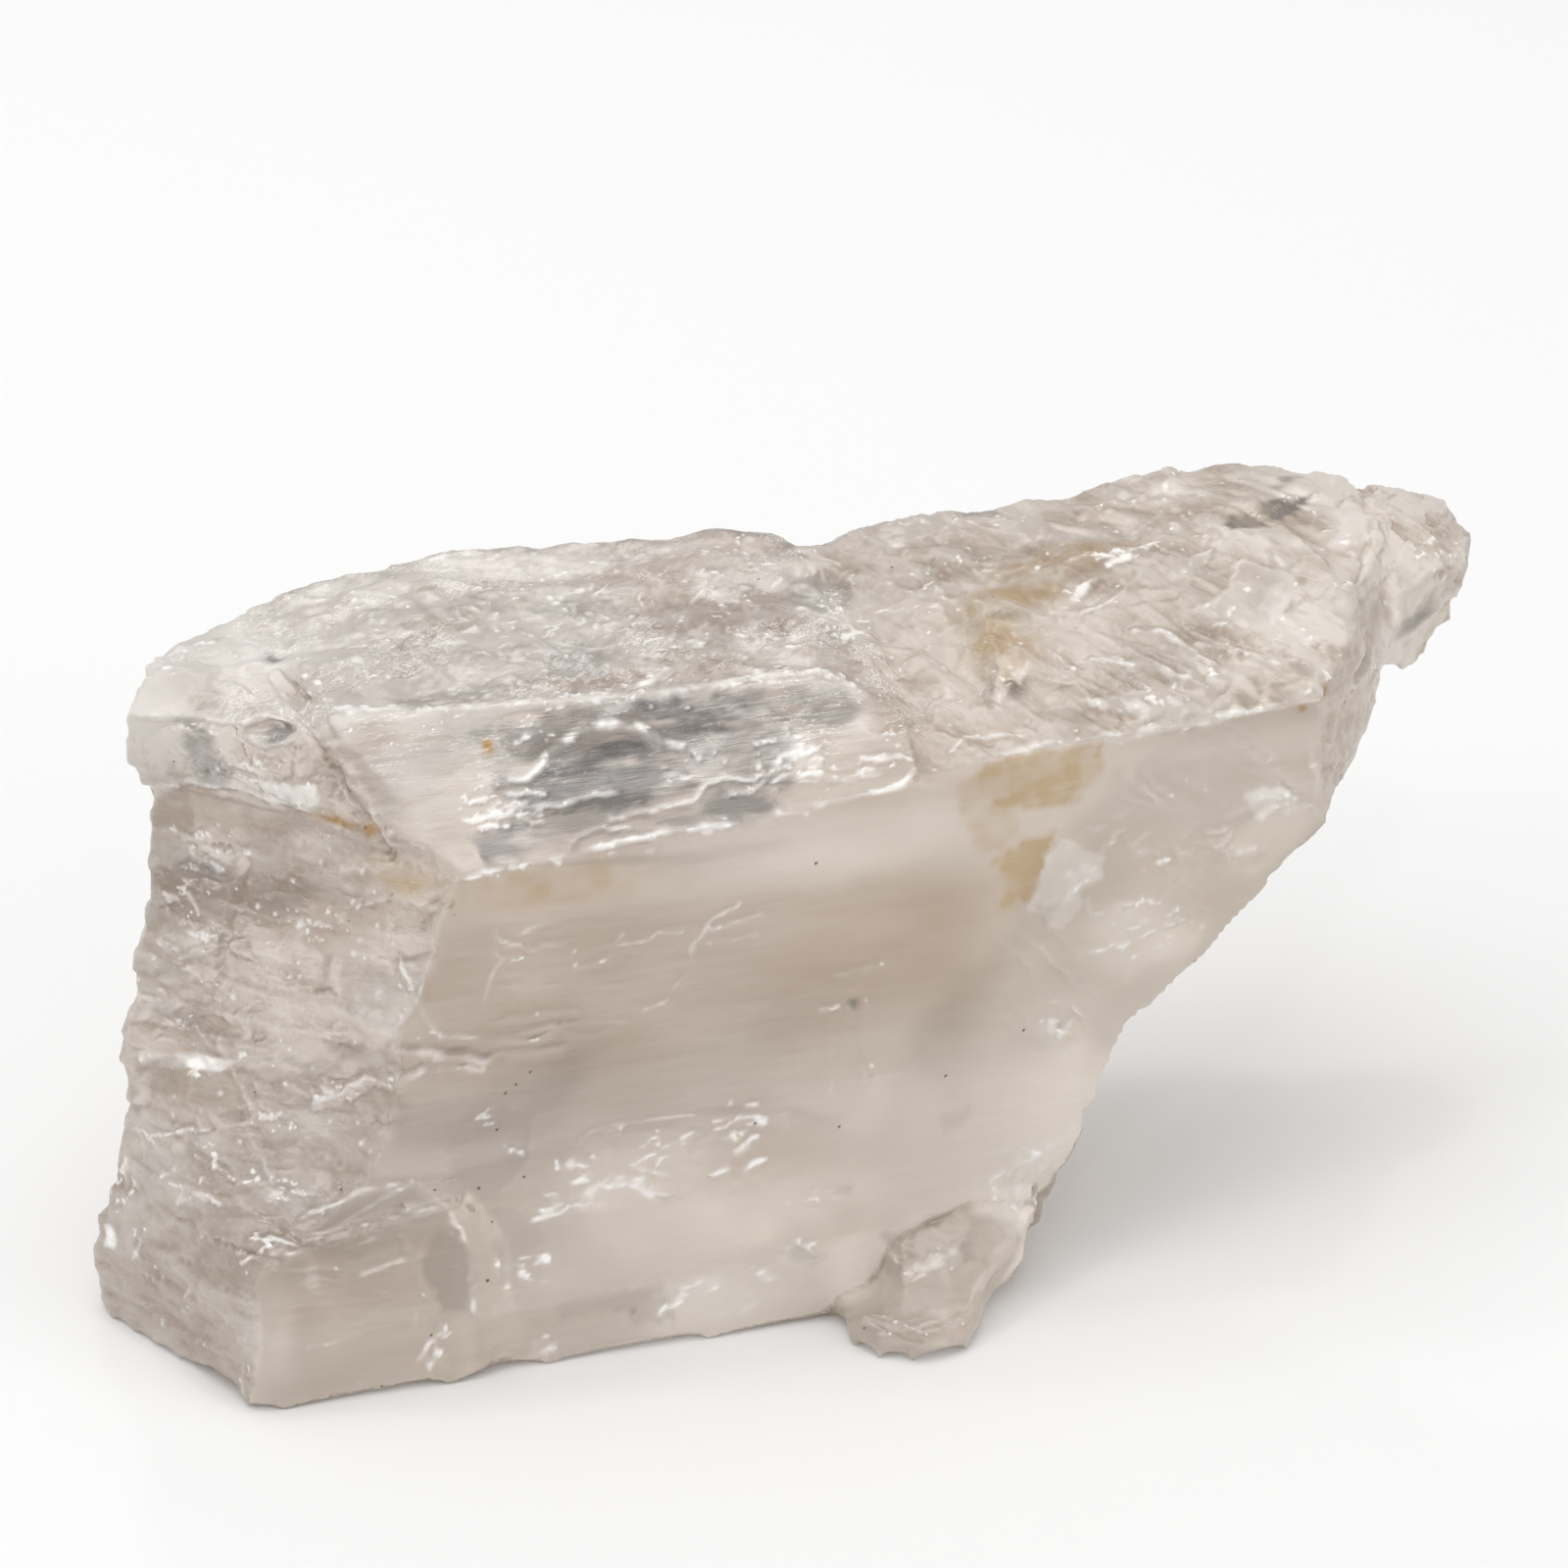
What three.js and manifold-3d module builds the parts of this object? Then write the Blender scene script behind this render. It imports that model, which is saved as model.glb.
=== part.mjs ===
// A raw petalite stone: one cleaved fragment of clear crystal, about 53 mm long, lying on its flat side.
//
// Millimetres, +Z up, +X along the stone. The smooth front cleavage faces -Y and leans back a little. A block
// of stacked cleavage layers carries a thick slab on its left and a wing on its right, which overhangs the
// base. Where the crystal broke and didn't cleave, the break is scooped out like the inside of a shell.
import * as THREE from "three";
import { ConvexGeometry } from "three/addons/geometries/ConvexGeometry.js";
import { ImprovedNoise } from "three/addons/math/ImprovedNoise.js";
import { SimplifyModifier } from "three/addons/modifiers/SimplifyModifier.js";
import { TessellateModifier } from "three/addons/modifiers/TessellateModifier.js";
import { mergeVertices } from "three/addons/utils/BufferGeometryUtils.js";
import Module from "manifold-3d";

const wasm = await Module();
wasm.setup();

// ---- Driving dimensions ----

const ridgeHeight = 18.4; // where the front cleavage ends, at its left corner
const ridgeRise = 0.08; // how much the ridge climbs for each millimetre to the right
const slabTop = 22.1;
const slabFloor = 17.6; // the underside of the slab's overhang
const wingTop = 23.3;
const wingRoot = 9.6; // where the wing leaves the block
const layerSeam = 0.35; // how far a layer draws in at its seams
const facetEdge = 0.95; // the longest edge of a facet before the flat faces are thinned out
const facetCorners = 4850; // how many corners the finished stone keeps
const roughness = 0.3; // the deepest relief of a broken face
const calm = 0.12; // the share of that relief on the front cleavage
const bevelCalm = 0.35; // and on the bevel above it
const stepHeight = 1.7; // cleavage steps on the broken sides
const stepDepth = 0.28;

// The front cleavage is a plane: its Y at any X and Z.
const frontAtOrigin = -8.45;
const frontTurn = 0.092;
const frontLean = 0.163;
const frontY = (x, z) => frontAtOrigin - frontTurn * x + frontLean * z;
const onFront = (x, z, out = 0) => [x, frontY(x, z) - out, z];
const ridgeZ = (x) => ridgeHeight + ridgeRise * (x + 10.9);

// ---- Solids ----

// A closed three.js geometry as a manifold solid.
function solidOf(geometry) {
  const bare = geometry.clone();
  bare.deleteAttribute("normal");
  bare.deleteAttribute("uv");
  const merged = mergeVertices(bare, 1e-4);
  return new wasm.Manifold(
    new wasm.Mesh({
      numProp: 3,
      vertProperties: new Float32Array(merged.attributes.position.array),
      triVerts: new Uint32Array(merged.index.array),
    }),
  );
}

function geometryOf(solid) {
  const mesh = solid.getMesh();
  const geometry = new THREE.BufferGeometry();
  geometry.setAttribute("position", new THREE.BufferAttribute(mesh.vertProperties, 3));
  geometry.setIndex(new THREE.BufferAttribute(mesh.triVerts, 1));
  return geometry;
}

// The smallest convex chunk that holds all these corners.
const chunk = (corners) => solidOf(new ConvexGeometry(corners.map((c) => new THREE.Vector3(...c))));

// A plate that stands this far out of the front cleavage, inside a convex outline of X and Z.
const plate = (outline, out) =>
  chunk(outline.flatMap(([x, z]) => [onFront(x, z, out), onFront(x, z, -2)]));

// A shell-shaped break: an ellipsoid laid from one point to another, sunk this deep under the face there.
function gouge({ from, to, width, depth, out }) {
  const [start, end, outward] = [from, to, out].map((v) => new THREE.Vector3(...v));
  const along = end.clone().sub(start);
  const radius = (width * width) / (8 * depth) + depth / 2;
  const ball = new THREE.IcosahedronGeometry(radius, Math.max(2, Math.round(radius / facetEdge)));
  ball.scale(along.length() / width, 1, 1);
  ball.applyQuaternion(
    new THREE.Quaternion().setFromUnitVectors(new THREE.Vector3(1, 0, 0), along.clone().normalize()),
  );
  const centre = start.lerp(end, 0.5).addScaledVector(outward.normalize(), radius - depth);
  ball.translate(...centre);
  return solidOf(ball);
}

// ---- The block: stacked cleavage layers ----

// Each corner of the block runs up the stone through these points.
const frontLeft = [
  onFront(-20.1, 0), onFront(-19.5, 5.5), onFront(-17.7, 8.3), onFront(-14.8, 9.9), onFront(-13.9, 13.2),
  onFront(-10.9, 18.4),
];
const frontRight = [onFront(8.9, 0), onFront(10.0, 4.8), onFront(12.4, wingRoot), onFront(13.5, 18.8)];
const leftEdge = [[-23.4, 0.9, 0], [-19.7, 4.7, slabFloor]];
const backLeft = [[-18.5, 8.6, 0], [-15.4, 10.4, slabFloor]];
const back = [[-4.5, 9.4, 0], [-5.5, 11.2, slabFloor]];
const backRight = [[6.0, 5.6, 0], [11.0, 7.4, wingRoot], [13.0, 7.6, slabFloor]];
const rightEdge = [[8.8, -2.5, 0], [13.6, -1.5, wingRoot], [15.0, -1.5, slabFloor]];

// Where a corner lies at height z.
function cornerAt(track, z) {
  const next = track.findIndex((point) => point[2] >= z);
  if (next < 1) return [...track.at(next).slice(0, 2), z];
  const [low, high] = [track[next - 1], track[next]];
  const share = (z - low[2]) / (high[2] - low[2]);
  return [low[0] + share * (high[0] - low[0]), low[1] + share * (high[1] - low[1]), z];
}

// A broken corner, moved out from the stone's long axis.
function brokenAt(track, z, out) {
  const [x, y] = cornerAt(track, z);
  const axisX = THREE.MathUtils.clamp(x, -12, 4);
  const reach = Math.hypot(x - axisX, y);
  return [x + (out * (x - axisX)) / reach, y + (out * y) / reach, z];
}

// One layer: proud of its neighbours at half height, and drawn in at its two seams.
function layer({ from, to, left, rear, right }) {
  const corners = [];
  for (const [z, drawnIn] of [[from, layerSeam], [(from + to) / 2, 0], [to, layerSeam]]) {
    corners.push(cornerAt(frontLeft, z), cornerAt(frontRight, z));
    corners.push(brokenAt(leftEdge, z, left - drawnIn));
    corners.push(brokenAt(backLeft, z, rear - drawnIn), brokenAt(back, z, rear - drawnIn));
    corners.push(brokenAt(backRight, z, right - drawnIn), brokenAt(rightEdge, z, right - drawnIn));
  }
  return chunk(corners);
}

const layers = [
  { from: 0, to: 4.4, left: 0.4, rear: 0.2, right: 0.2 },
  { from: 4.3, to: 7.2, left: 0.0, rear: 0.9, right: 0.1 },
  { from: 7.1, to: 10.9, left: 0.1, rear: 0.1, right: 0.8 },
  { from: 10.8, to: 14.2, left: 0.0, rear: 0.7, right: 0.3 },
  { from: 14.1, to: ridgeHeight, left: 0.0, rear: 0.0, right: 0.2 },
];

// The bottom right corner of the front is broken off along a slanting edge.
const cornerBreak = new THREE.BoxGeometry(30, 8, 30);
cornerBreak.translate(0, -4, 0);
cornerBreak.applyQuaternion(
  new THREE.Quaternion().setFromUnitVectors(new THREE.Vector3(0, -1, 0), new THREE.Vector3(0.2, -0.914, -0.352)),
);
cornerBreak.translate(...onFront(6.6, 3.2));

// ---- The slab on the left ----

const slab = chunk([
  onFront(-10.9, ridgeZ(-10.9), 0.05), onFront(4.9, ridgeZ(4.9) - 0.1, 0.35), onFront(4.4, 18.3, 0.1),
  [-13.4, -2.2, 19.4], [-14.2, 0.8, slabTop + 0.3], [-6.7, -1.0, slabTop + 0.2], [2.4, -2.3, slabTop + 0.3],
  [5.4, -3.6, 21.3], [6.7, 6.8, slabTop], [5.2, 9.4, slabTop - 0.2], [3.0, 10.8, slabTop - 0.3],
  [-3.3, 12.1, slabTop - 0.4], [-6.3, 12.8, slabTop - 0.4], [-11.4, 12.0, slabTop - 0.4],
  [-15.0, 10.4, slabTop - 0.4], [-13.2, -0.5, slabFloor], [-11.6, -3.4, slabFloor],
  [-13.5, 9.5, slabFloor], [-5.0, 11.0, slabFloor], [5.0, 8.5, slabFloor], [5.6, -4.8, slabFloor],
]);

const slabEnd = chunk([
  [-13.0, -2.6, 19.6], [-14.6, 0.7, slabTop], [-14.9, 4.6, slabTop + 0.1], [-14.2, 9.7, slabTop - 0.2],
  [-17.3, 8.8, slabTop - 0.2], [-19.2, 6.6, slabTop - 0.1], [-20.5, 4.9, 21.5], [-20.3, 5.4, 19.4],
  [-19.3, 5.6, slabFloor], [-17.4, 4.0, slabFloor], [-15.6, 2.8, slabFloor], [-13.0, -0.4, slabFloor],
  [-11.8, -3.3, slabFloor + 0.2], [-12.5, 9.0, slabFloor], [-17.0, 8.6, slabFloor + 0.4],
]);

// ---- The wing on the right: a low root beside the slab, and the wing itself ----

const wingBase = chunk([
  onFront(3.5, ridgeZ(3.5) - 0.3), onFront(10.0, ridgeZ(10.0)), onFront(4.0, 12), onFront(10.0, 12),
  [5.0, -4.0, 20.5], [6.0, 2.0, 21.3], [6.2, 7.2, 22.3], [10.0, 7.3, 22.8], [11.0, 0.0, 22.6],
  [5.0, 7.0, 12.0], [12.0, 7.4, 12.0],
]);

const wing = chunk([
  onFront(10.0, wingRoot), onFront(12.9, wingRoot), onFront(19.6, 16.0), onFront(19.5, 20.7),
  onFront(8.0, ridgeZ(8.0)), onFront(8.0, 14), [21.5, -4.0, 14.8], [22.9, -2.6, 17.2], [24.4, -2.4, 19.2],
  [25.2, 0.2, 22.8], [25.3, 3.9, wingTop], [21.8, 6.3, wingTop], [12.1, 6.6, wingTop - 0.4],
  [9.4, 7.1, wingTop - 0.6], [9.2, -1.6, wingTop - 0.7], [13.6, -0.1, wingTop - 0.3],
  [19.6, 2.4, wingTop + 0.1], [22.5, 5.4, 17.0], [12.5, 7.4, 10.4], [8.0, 7.2, 12.0],
]);

const endKnob = chunk([
  [24.0, -2.2, 18.2], [24.6, -0.6, 22.1], [24.2, 3.8, 22.6], [27.0, 3.4, 23.0], [28.5, 2.6, 22.3],
  [29.6, 2.0, 21.0], [29.8, 2.0, 19.4], [28.7, 0.2, 20.4], [29.0, 1.2, 17.8], [27.4, 1.0, 16.9],
  [26.1, -0.6, 17.0], [26.8, -0.8, 21.4], [24.0, 4.8, 18.0], [27.4, 4.4, 19.0], [26.0, 4.8, 21.6],
]);

// ---- Ledges and lumps of the front ----

const cornerBlock = plate(
  [[-20.1, 0], [-19.5, 5.4], [-12.1, 6.8], [-11.1, 5.2], [-10.9, 2.4], [-11.6, 0]], 0.55,
);
const lowerShelf = plate([[-12.0, 0], [-12.0, 2.2], [-4.3, 2.9], [1.5, 3.0], [2.0, 0]], 0.22);
const upperShelf = plate(
  [[-14.0, 0], [-13.4, 7.2], [-9.0, 7.3], [-5.3, 8.3], [-1.1, 8.4], [1.3, 7.4], [2.4, 4.0], [2.6, 0]], 0.1,
);

// The foot: a low lump on the ground, and the ramp that runs from it up into the front.
const toe = chunk([
  [0.8, -8.7, 0], [0.8, -9.9, 0], [1.3, -11.1, 0], [2.8, -12.4, 0], [4.1, -12.4, 0], [5.0, -12.0, 0], [5.8, -10.8, 0],
  [7.1, -9.0, 0], [1.0, -9.2, 0.8], [1.1, -10.4, 1.1], [2.4, -11.4, 1.3], [3.0, -11.9, 1.2], [4.0, -11.9, 1.35],
  [5.1, -11.5, 1.5], [6.3, -10.0, 1.7],
]);
const ramp = chunk([
  [2.8, -8.8, 0], onFront(2.9, 2.8, 0.02), [2.5, -11.0, 1.2], [3.0, -11.5, 1.1], [5.2, -11.3, 1.7], [6.3, -10.1, 1.9],
  [6.4, -9.8, 2.5], onFront(4.3, 3.3, 0.05), onFront(6.6, 4.2, 0.05), onFront(8.6, 3.4, 0.1), [7.4, -9.3, 1.2],
  [8.4, -9.1, 1.2], [8.1, -8.6, 0],
]);

// ---- Breaks ----

const bevelOut = [-0.12, -0.66, 0.74];
const wingOut = [-0.08, -0.43, 0.9];
const leftOut = [-0.8, -0.55, 0.25];
const breaks = [
  // The left face.
  { from: [-19.2, 4.0, 16.6], to: [-12.6, -3.6, 15.6], width: 4.6, depth: 0.45, out: leftOut },
  { from: [-18.9, -0.6, 13.2], to: [-13.8, -4.6, 10.4], width: 5.2, depth: 0.4, out: leftOut },
  { from: [-21.4, 0.4, 9.9], to: [-18.2, -5.2, 7.8], width: 3.2, depth: 0.35, out: leftOut },
  { from: [-22.4, 0.4, 6.6], to: [-19.6, -5.2, 5.2], width: 3.0, depth: 0.4, out: leftOut },
  { from: [-23.0, 0.0, 3.4], to: [-20.6, -5.4, 1.2], width: 3.4, depth: 0.4, out: leftOut },
  // The back.
  { from: [-19.0, 9.0, 14.5], to: [-5.0, 11.2, 11.5], width: 8.5, depth: 0.7, out: [-0.2, 1, 0] },
  { from: [-7.0, 11.2, 15.5], to: [8.0, 7.8, 13.0], width: 7.5, depth: 0.7, out: [0.25, 1, 0.1] },
  { from: [-18.0, 9.0, 3.5], to: [-1.0, 9.6, 6.0], width: 6.0, depth: 0.6, out: [0, 1, -0.1] },
  { from: [-1.0, 9.4, 5.0], to: [11.0, 6.0, 9.0], width: 7.0, depth: 0.7, out: [0.4, 0.9, 0] },
  { from: [10.0, 7.6, 17.5], to: [24.0, 6.2, 20.5], width: 5.5, depth: 0.5, out: [0.1, 1, 0.1] },
  // The right side, under the wing.
  { from: [10.0, -5.0, 4.6], to: [9.0, 3.0, 4.4], width: 5.5, depth: 0.7, out: [0.95, 0, -0.1] },
  { from: [13.5, -6.0, 11.2], to: [14.0, 4.0, 11.2], width: 6.5, depth: 0.9, out: [0.7, 0.1, -0.65] },
  { from: [18.5, -4.5, 14.6], to: [20.0, 4.0, 16.2], width: 5.5, depth: 0.8, out: [0.55, 0.2, -0.8] },
  { from: [21.0, -7.2, 17.0], to: [21.5, -5.8, 20.0], width: 1.6, depth: 0.35, out: [0.5, -0.8, 0.1] },
  // The base.
  { from: [-20.0, 4.0, 0], to: [-11.5, 9.5, 0], width: 5.0, depth: 0.35, out: [0, 0, -1] },
  { from: [-1.0, 7.0, 0], to: [8.5, 2.0, 0], width: 5.5, depth: 0.4, out: [0, 0, -1] },
  { from: [-22.0, -4.5, 0], to: [-15.5, -5.5, 0], width: 3.0, depth: 0.25, out: [0, 0, -1] },
  // The slab's top and bevel.
  { from: [3.2, 7.2, slabTop], to: [5.8, 1.4, slabTop], width: 3.0, depth: 0.6, out: [0.2, 0, 1] },
  { from: [-9.5, 5.0, slabTop], to: [-1.0, 6.0, slabTop], width: 5.0, depth: 0.35, out: [0, 0, 1] },
  { from: [-12.5, 9.8, slabTop], to: [-7.5, 11.0, slabTop], width: 2.6, depth: 0.4, out: [0, 0.3, 1] },
  { from: [-10.5, -2.2, 20.9], to: [-3.0, -2.9, 20.9], width: 2.4, depth: 0.12, out: bevelOut },
  // The slab's left end, and the split that parts it from the slab.
  { from: [-16.8, 1.9, 21.6], to: [-15.2, 1.4, 21.7], width: 1.2, depth: 0.35, out: [-0.3, -0.5, 0.8] },
  { from: [-19.6, 3.6, 20.6], to: [-17.6, 1.6, 20.4], width: 2.6, depth: 0.5, out: [-0.6, -0.7, 0.4] },
  { from: [-14.9, 5.6, slabTop], to: [-14.3, 0.2, slabTop], width: 0.8, depth: 0.45, out: [0, 0, 1] },
  { from: [-14.5, 0.9, slabTop], to: [-12.3, -3.0, 18.4], width: 0.8, depth: 0.45, out: [-0.4, -0.6, 0.7] },
  // The ribs of the wing, from its middle down to the ridge, and a chip in the ridge.
  { from: [9.3, -1.2, 22.6], to: [16.5, 1.4, 23.2], width: 2.2, depth: 0.4, out: wingOut },
  { from: [10.5, -2.2, 22.2], to: [15.9, -5.6, 21.0], width: 2.0, depth: 0.35, out: wingOut },
  { from: [13.0, -1.4, 22.7], to: [18.6, -5.2, 21.3], width: 2.2, depth: 0.4, out: wingOut },
  { from: [16.0, -1.6, 22.6], to: [21.5, -3.6, 21.9], width: 3.4, depth: 0.5, out: wingOut },
  { from: [8.6, -3.8, 21.3], to: [14.2, -6.0, 20.7], width: 2.0, depth: 0.4, out: wingOut },
  { from: [6.6, -5.7, 20.3], to: [8.9, -5.9, 20.4], width: 0.9, depth: 0.25, out: wingOut },
  { from: [21.5, 2.0, wingTop], to: [24.0, 1.0, wingTop], width: 2.6, depth: 0.4, out: [0, -0.2, 1] },
  // The knob at the right end.
  { from: [26.6, -0.4, 17.9], to: [29.2, 1.0, 18.7], width: 1.6, depth: 0.4, out: [0.4, -0.8, -0.2] },
  { from: [27.0, -0.4, 21.9], to: [27.9, 0.1, 21.9], width: 0.9, depth: 0.3, out: [0.3, -0.6, 0.7] },
  { from: [27.3, -0.4, 20.4], to: [28.1, 0.0, 20.4], width: 0.9, depth: 0.3, out: [0.5, -0.8, 0.1] },
  // The small pit in the front cleavage.
  { from: onFront(2.0, 11.9), to: onFront(2.6, 11.9), width: 0.6, depth: 0.22, out: [-0.09, -1, 0.16] },
];

// ---- Put together ----

let rough = layers.map(layer).reduce((all, part) => all.add(part));
for (const part of [wingBase, wing, upperShelf, lowerShelf]) rough = rough.add(part);
rough = rough.subtract(solidOf(cornerBreak));
for (const part of [slab, slabEnd, endKnob, cornerBlock, toe, ramp]) rough = rough.add(part);

const facets = new TessellateModifier(facetEdge, 24);
let stone = solidOf(facets.modify(geometryOf(rough).toNonIndexed()));
for (const cut of breaks) stone = stone.subtract(gouge(cut));

// ---- Relief: broken faces are rough, the front cleavage and the base stay flat ----

const noise = new ImprovedNoise();
const { smoothstep } = THREE.MathUtils;

// How rough the stone is at a point, from the calm of a cleavage to 1.
const bevel = new THREE.Plane().setFromNormalAndCoplanarPoint(
  new THREE.Vector3(...bevelOut).normalize(), new THREE.Vector3(...onFront(-10.9, ridgeHeight)),
);
function roughnessAt(point) {
  const offFront = Math.abs(point.y - frontY(point.x, point.z));
  const onWing = smoothstep(point.x, 8, 12);
  const front = Math.max(smoothstep(offFront, 0.3, 1.4), 0.4 * onWing, calm);
  const offBevel = Math.abs(bevel.distanceToPoint(point)) + Math.max(0, point.x - 4, -13 - point.x);
  return Math.min(front, Math.max(smoothstep(offBevel, 0.3, 1), bevelCalm));
}

// Cleavage steps run round the sides: each sheet reaches out at its foot, and gives way at its top.
function steps(point) {
  const sheet = point.z / stepHeight + 0.6 * noise.noise(point.x / 6, point.y / 6, 5);
  const upSheet = sheet - Math.floor(sheet);
  const onSides = 1 - smoothstep(point.z, 17, 18.5);
  return stepDepth * onSides * (0.5 - upSheet + smoothstep(upSheet, 0.75, 1));
}

// The relief pushes out from the stone's long axis, which runs below the slab and up into the wing.
const axis = new THREE.Line3(new THREE.Vector3(-14, 1.5, 9), new THREE.Vector3(22, 0.5, 19));
function relief(point) {
  const outward = axis.closestPointToPoint(point, true, new THREE.Vector3()).sub(point).negate().normalize();
  const lumps = noise.noise(point.x / 4.1, point.y / 4.1, point.z / 3.3);
  const creases = 0.5 - 2 * Math.abs(noise.noise(point.x / 2.3 + 31, point.y / 2.3, point.z / 1.7));
  const chips = 0.4 - 2 * Math.abs(noise.noise(point.x / 1.1, point.y / 1.1 + 17, point.z / 0.9));
  outward.z *= smoothstep(point.z, 0.05, 1.2); // the base stays level
  const rise = roughness * (lumps + 0.6 * creases + 0.3 * chips) + steps(point);
  return outward.multiplyScalar(rise * roughnessAt(point));
}

const detailed = geometryOf(stone);
const place = detailed.attributes.position;
for (let i = 0; i < place.count; i++) {
  const point = new THREE.Vector3().fromBufferAttribute(place, i);
  point.add(relief(point));
  place.setXYZ(i, point.x, point.y, point.z);
}
const thinned = await new SimplifyModifier().modify(detailed, place.count - facetCorners);
const geometry = geometryOf(solidOf(thinned));
geometry.computeVertexNormals();
geometry.computeBoundingBox();

const material = new THREE.MeshStandardMaterial({ color: 0xcbbfb2, roughness: 0.25, metalness: 0 });
const mesh = new THREE.Mesh(geometry, material);
mesh.name = "petalite_stone";
const middle = geometry.boundingBox.getCenter(new THREE.Vector3());
mesh.position.set(-middle.x, -middle.y, -geometry.boundingBox.min.z);

const part = new THREE.Group();
part.add(mesh);
export default part;
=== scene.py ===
import math

import bpy
import numpy as np
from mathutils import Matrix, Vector


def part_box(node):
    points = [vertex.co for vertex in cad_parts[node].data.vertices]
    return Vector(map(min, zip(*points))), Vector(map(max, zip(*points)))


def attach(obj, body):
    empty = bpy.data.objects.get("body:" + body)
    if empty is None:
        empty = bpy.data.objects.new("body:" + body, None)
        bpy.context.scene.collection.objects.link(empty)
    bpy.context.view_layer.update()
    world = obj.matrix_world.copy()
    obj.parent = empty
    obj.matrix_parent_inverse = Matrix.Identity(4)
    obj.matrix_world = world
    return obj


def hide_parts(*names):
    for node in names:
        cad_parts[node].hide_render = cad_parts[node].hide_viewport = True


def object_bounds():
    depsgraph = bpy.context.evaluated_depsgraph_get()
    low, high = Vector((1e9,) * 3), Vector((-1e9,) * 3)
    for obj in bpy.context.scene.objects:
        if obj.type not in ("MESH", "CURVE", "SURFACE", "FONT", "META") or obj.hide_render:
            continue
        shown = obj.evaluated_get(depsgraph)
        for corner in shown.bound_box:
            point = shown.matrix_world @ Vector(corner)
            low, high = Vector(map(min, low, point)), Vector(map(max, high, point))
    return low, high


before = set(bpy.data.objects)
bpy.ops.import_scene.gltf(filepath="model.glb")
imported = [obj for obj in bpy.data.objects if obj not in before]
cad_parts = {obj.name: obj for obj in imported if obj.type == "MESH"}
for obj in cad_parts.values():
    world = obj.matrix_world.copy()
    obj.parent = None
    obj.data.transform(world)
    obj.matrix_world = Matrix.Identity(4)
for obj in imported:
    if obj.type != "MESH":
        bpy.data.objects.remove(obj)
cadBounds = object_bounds()
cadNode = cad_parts["petalite_stone"]

mm = 0.001
drawingCorner = np.array((-23.57, -12.50, 0.0))  # the stone's lowest corner in its own drawing, mm
drawingShift = np.array(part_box("petalite_stone")[0]) / mm - drawingCorner
print("frame loaded")


def deselectAll():
    if bpy.context.object and bpy.context.object.mode != "OBJECT":
        bpy.ops.object.mode_set(mode="OBJECT")
    bpy.ops.object.select_all(action="DESELECT")


def useObject(piece):
    deselectAll()
    piece.select_set(True)
    bpy.context.view_layer.objects.active = piece


def applyModifier(piece, kind, **settings):
    useObject(piece)
    modifier = piece.modifiers.new(kind.lower(), kind)
    for name, value in settings.items():
        setattr(modifier, name, value)
    bpy.ops.object.modifier_apply(modifier=modifier.name)


def readVectors(items, name):
    flat = np.empty(len(items) * 3)
    items.foreach_get(name, flat)
    return flat.reshape(-1, 3)


def readPoints(piece):
    return readVectors(piece.data.vertices, "co") / mm - drawingShift


def writePoints(piece, points):
    piece.data.vertices.foreach_set("co", ((points + drawingShift) * mm).ravel())
    piece.data.update()


def editMesh(piece, operation, chosen=None, **settings):
    # one mesh operation on the chosen faces, or on them all
    useObject(piece)
    if chosen is not None:
        bpy.context.tool_settings.mesh_select_mode = (False, False, True)
        mesh = piece.data
        mesh.vertices.foreach_set("select", np.zeros(len(mesh.vertices), bool))
        mesh.edges.foreach_set("select", np.zeros(len(mesh.edges), bool))
        mesh.polygons.foreach_set("select", chosen)
    bpy.ops.object.mode_set(mode="EDIT")
    if chosen is None:
        bpy.ops.mesh.select_all(action="SELECT")
    operation(**settings)
    bpy.ops.object.mode_set(mode="OBJECT")


def frontY(x, z):
    return -8.45 - 0.092 * x + 0.163 * z


# patterns in space, all in millimetres
def ease(value, low, high):
    t = np.clip((value - low) / (high - low), 0, 1)
    return t * t * (3 - 2 * t)


def hashed(cell, seed):
    h = cell[:, 0] * 374761393 + cell[:, 1] * 668265263 + cell[:, 2] * 1103515245 + seed * 974634777
    h = h & 0xFFFFFFFF
    h = ((h ^ (h >> 13)) * 1274126177) & 0xFFFFFFFF
    h = ((h ^ (h >> 16)) * 2246822519) & 0xFFFFFFFF
    return ((h ^ (h >> 15)) & 0xFFFF) / 65535.0


def noise(points, size, seed=0):
    p = points / np.asarray(size, float) + 1000
    cell = np.floor(p).astype(np.int64)
    f = p - cell
    f = f * f * f * (f * (f * 6 - 15) + 10)
    total = 0
    for corner in np.ndindex(2, 2, 2):
        weight = np.where(corner, f, 1 - f).prod(1)
        total = total + weight * hashed(cell + corner, seed)
    return total * 2 - 1


def layered(points, size, seed=0, octaves=3):
    size = np.asarray(size, float) * np.ones(3)
    return sum(noise(points, size / 2 ** k, seed + 17 * k) / 2 ** k for k in range(octaves))


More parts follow.
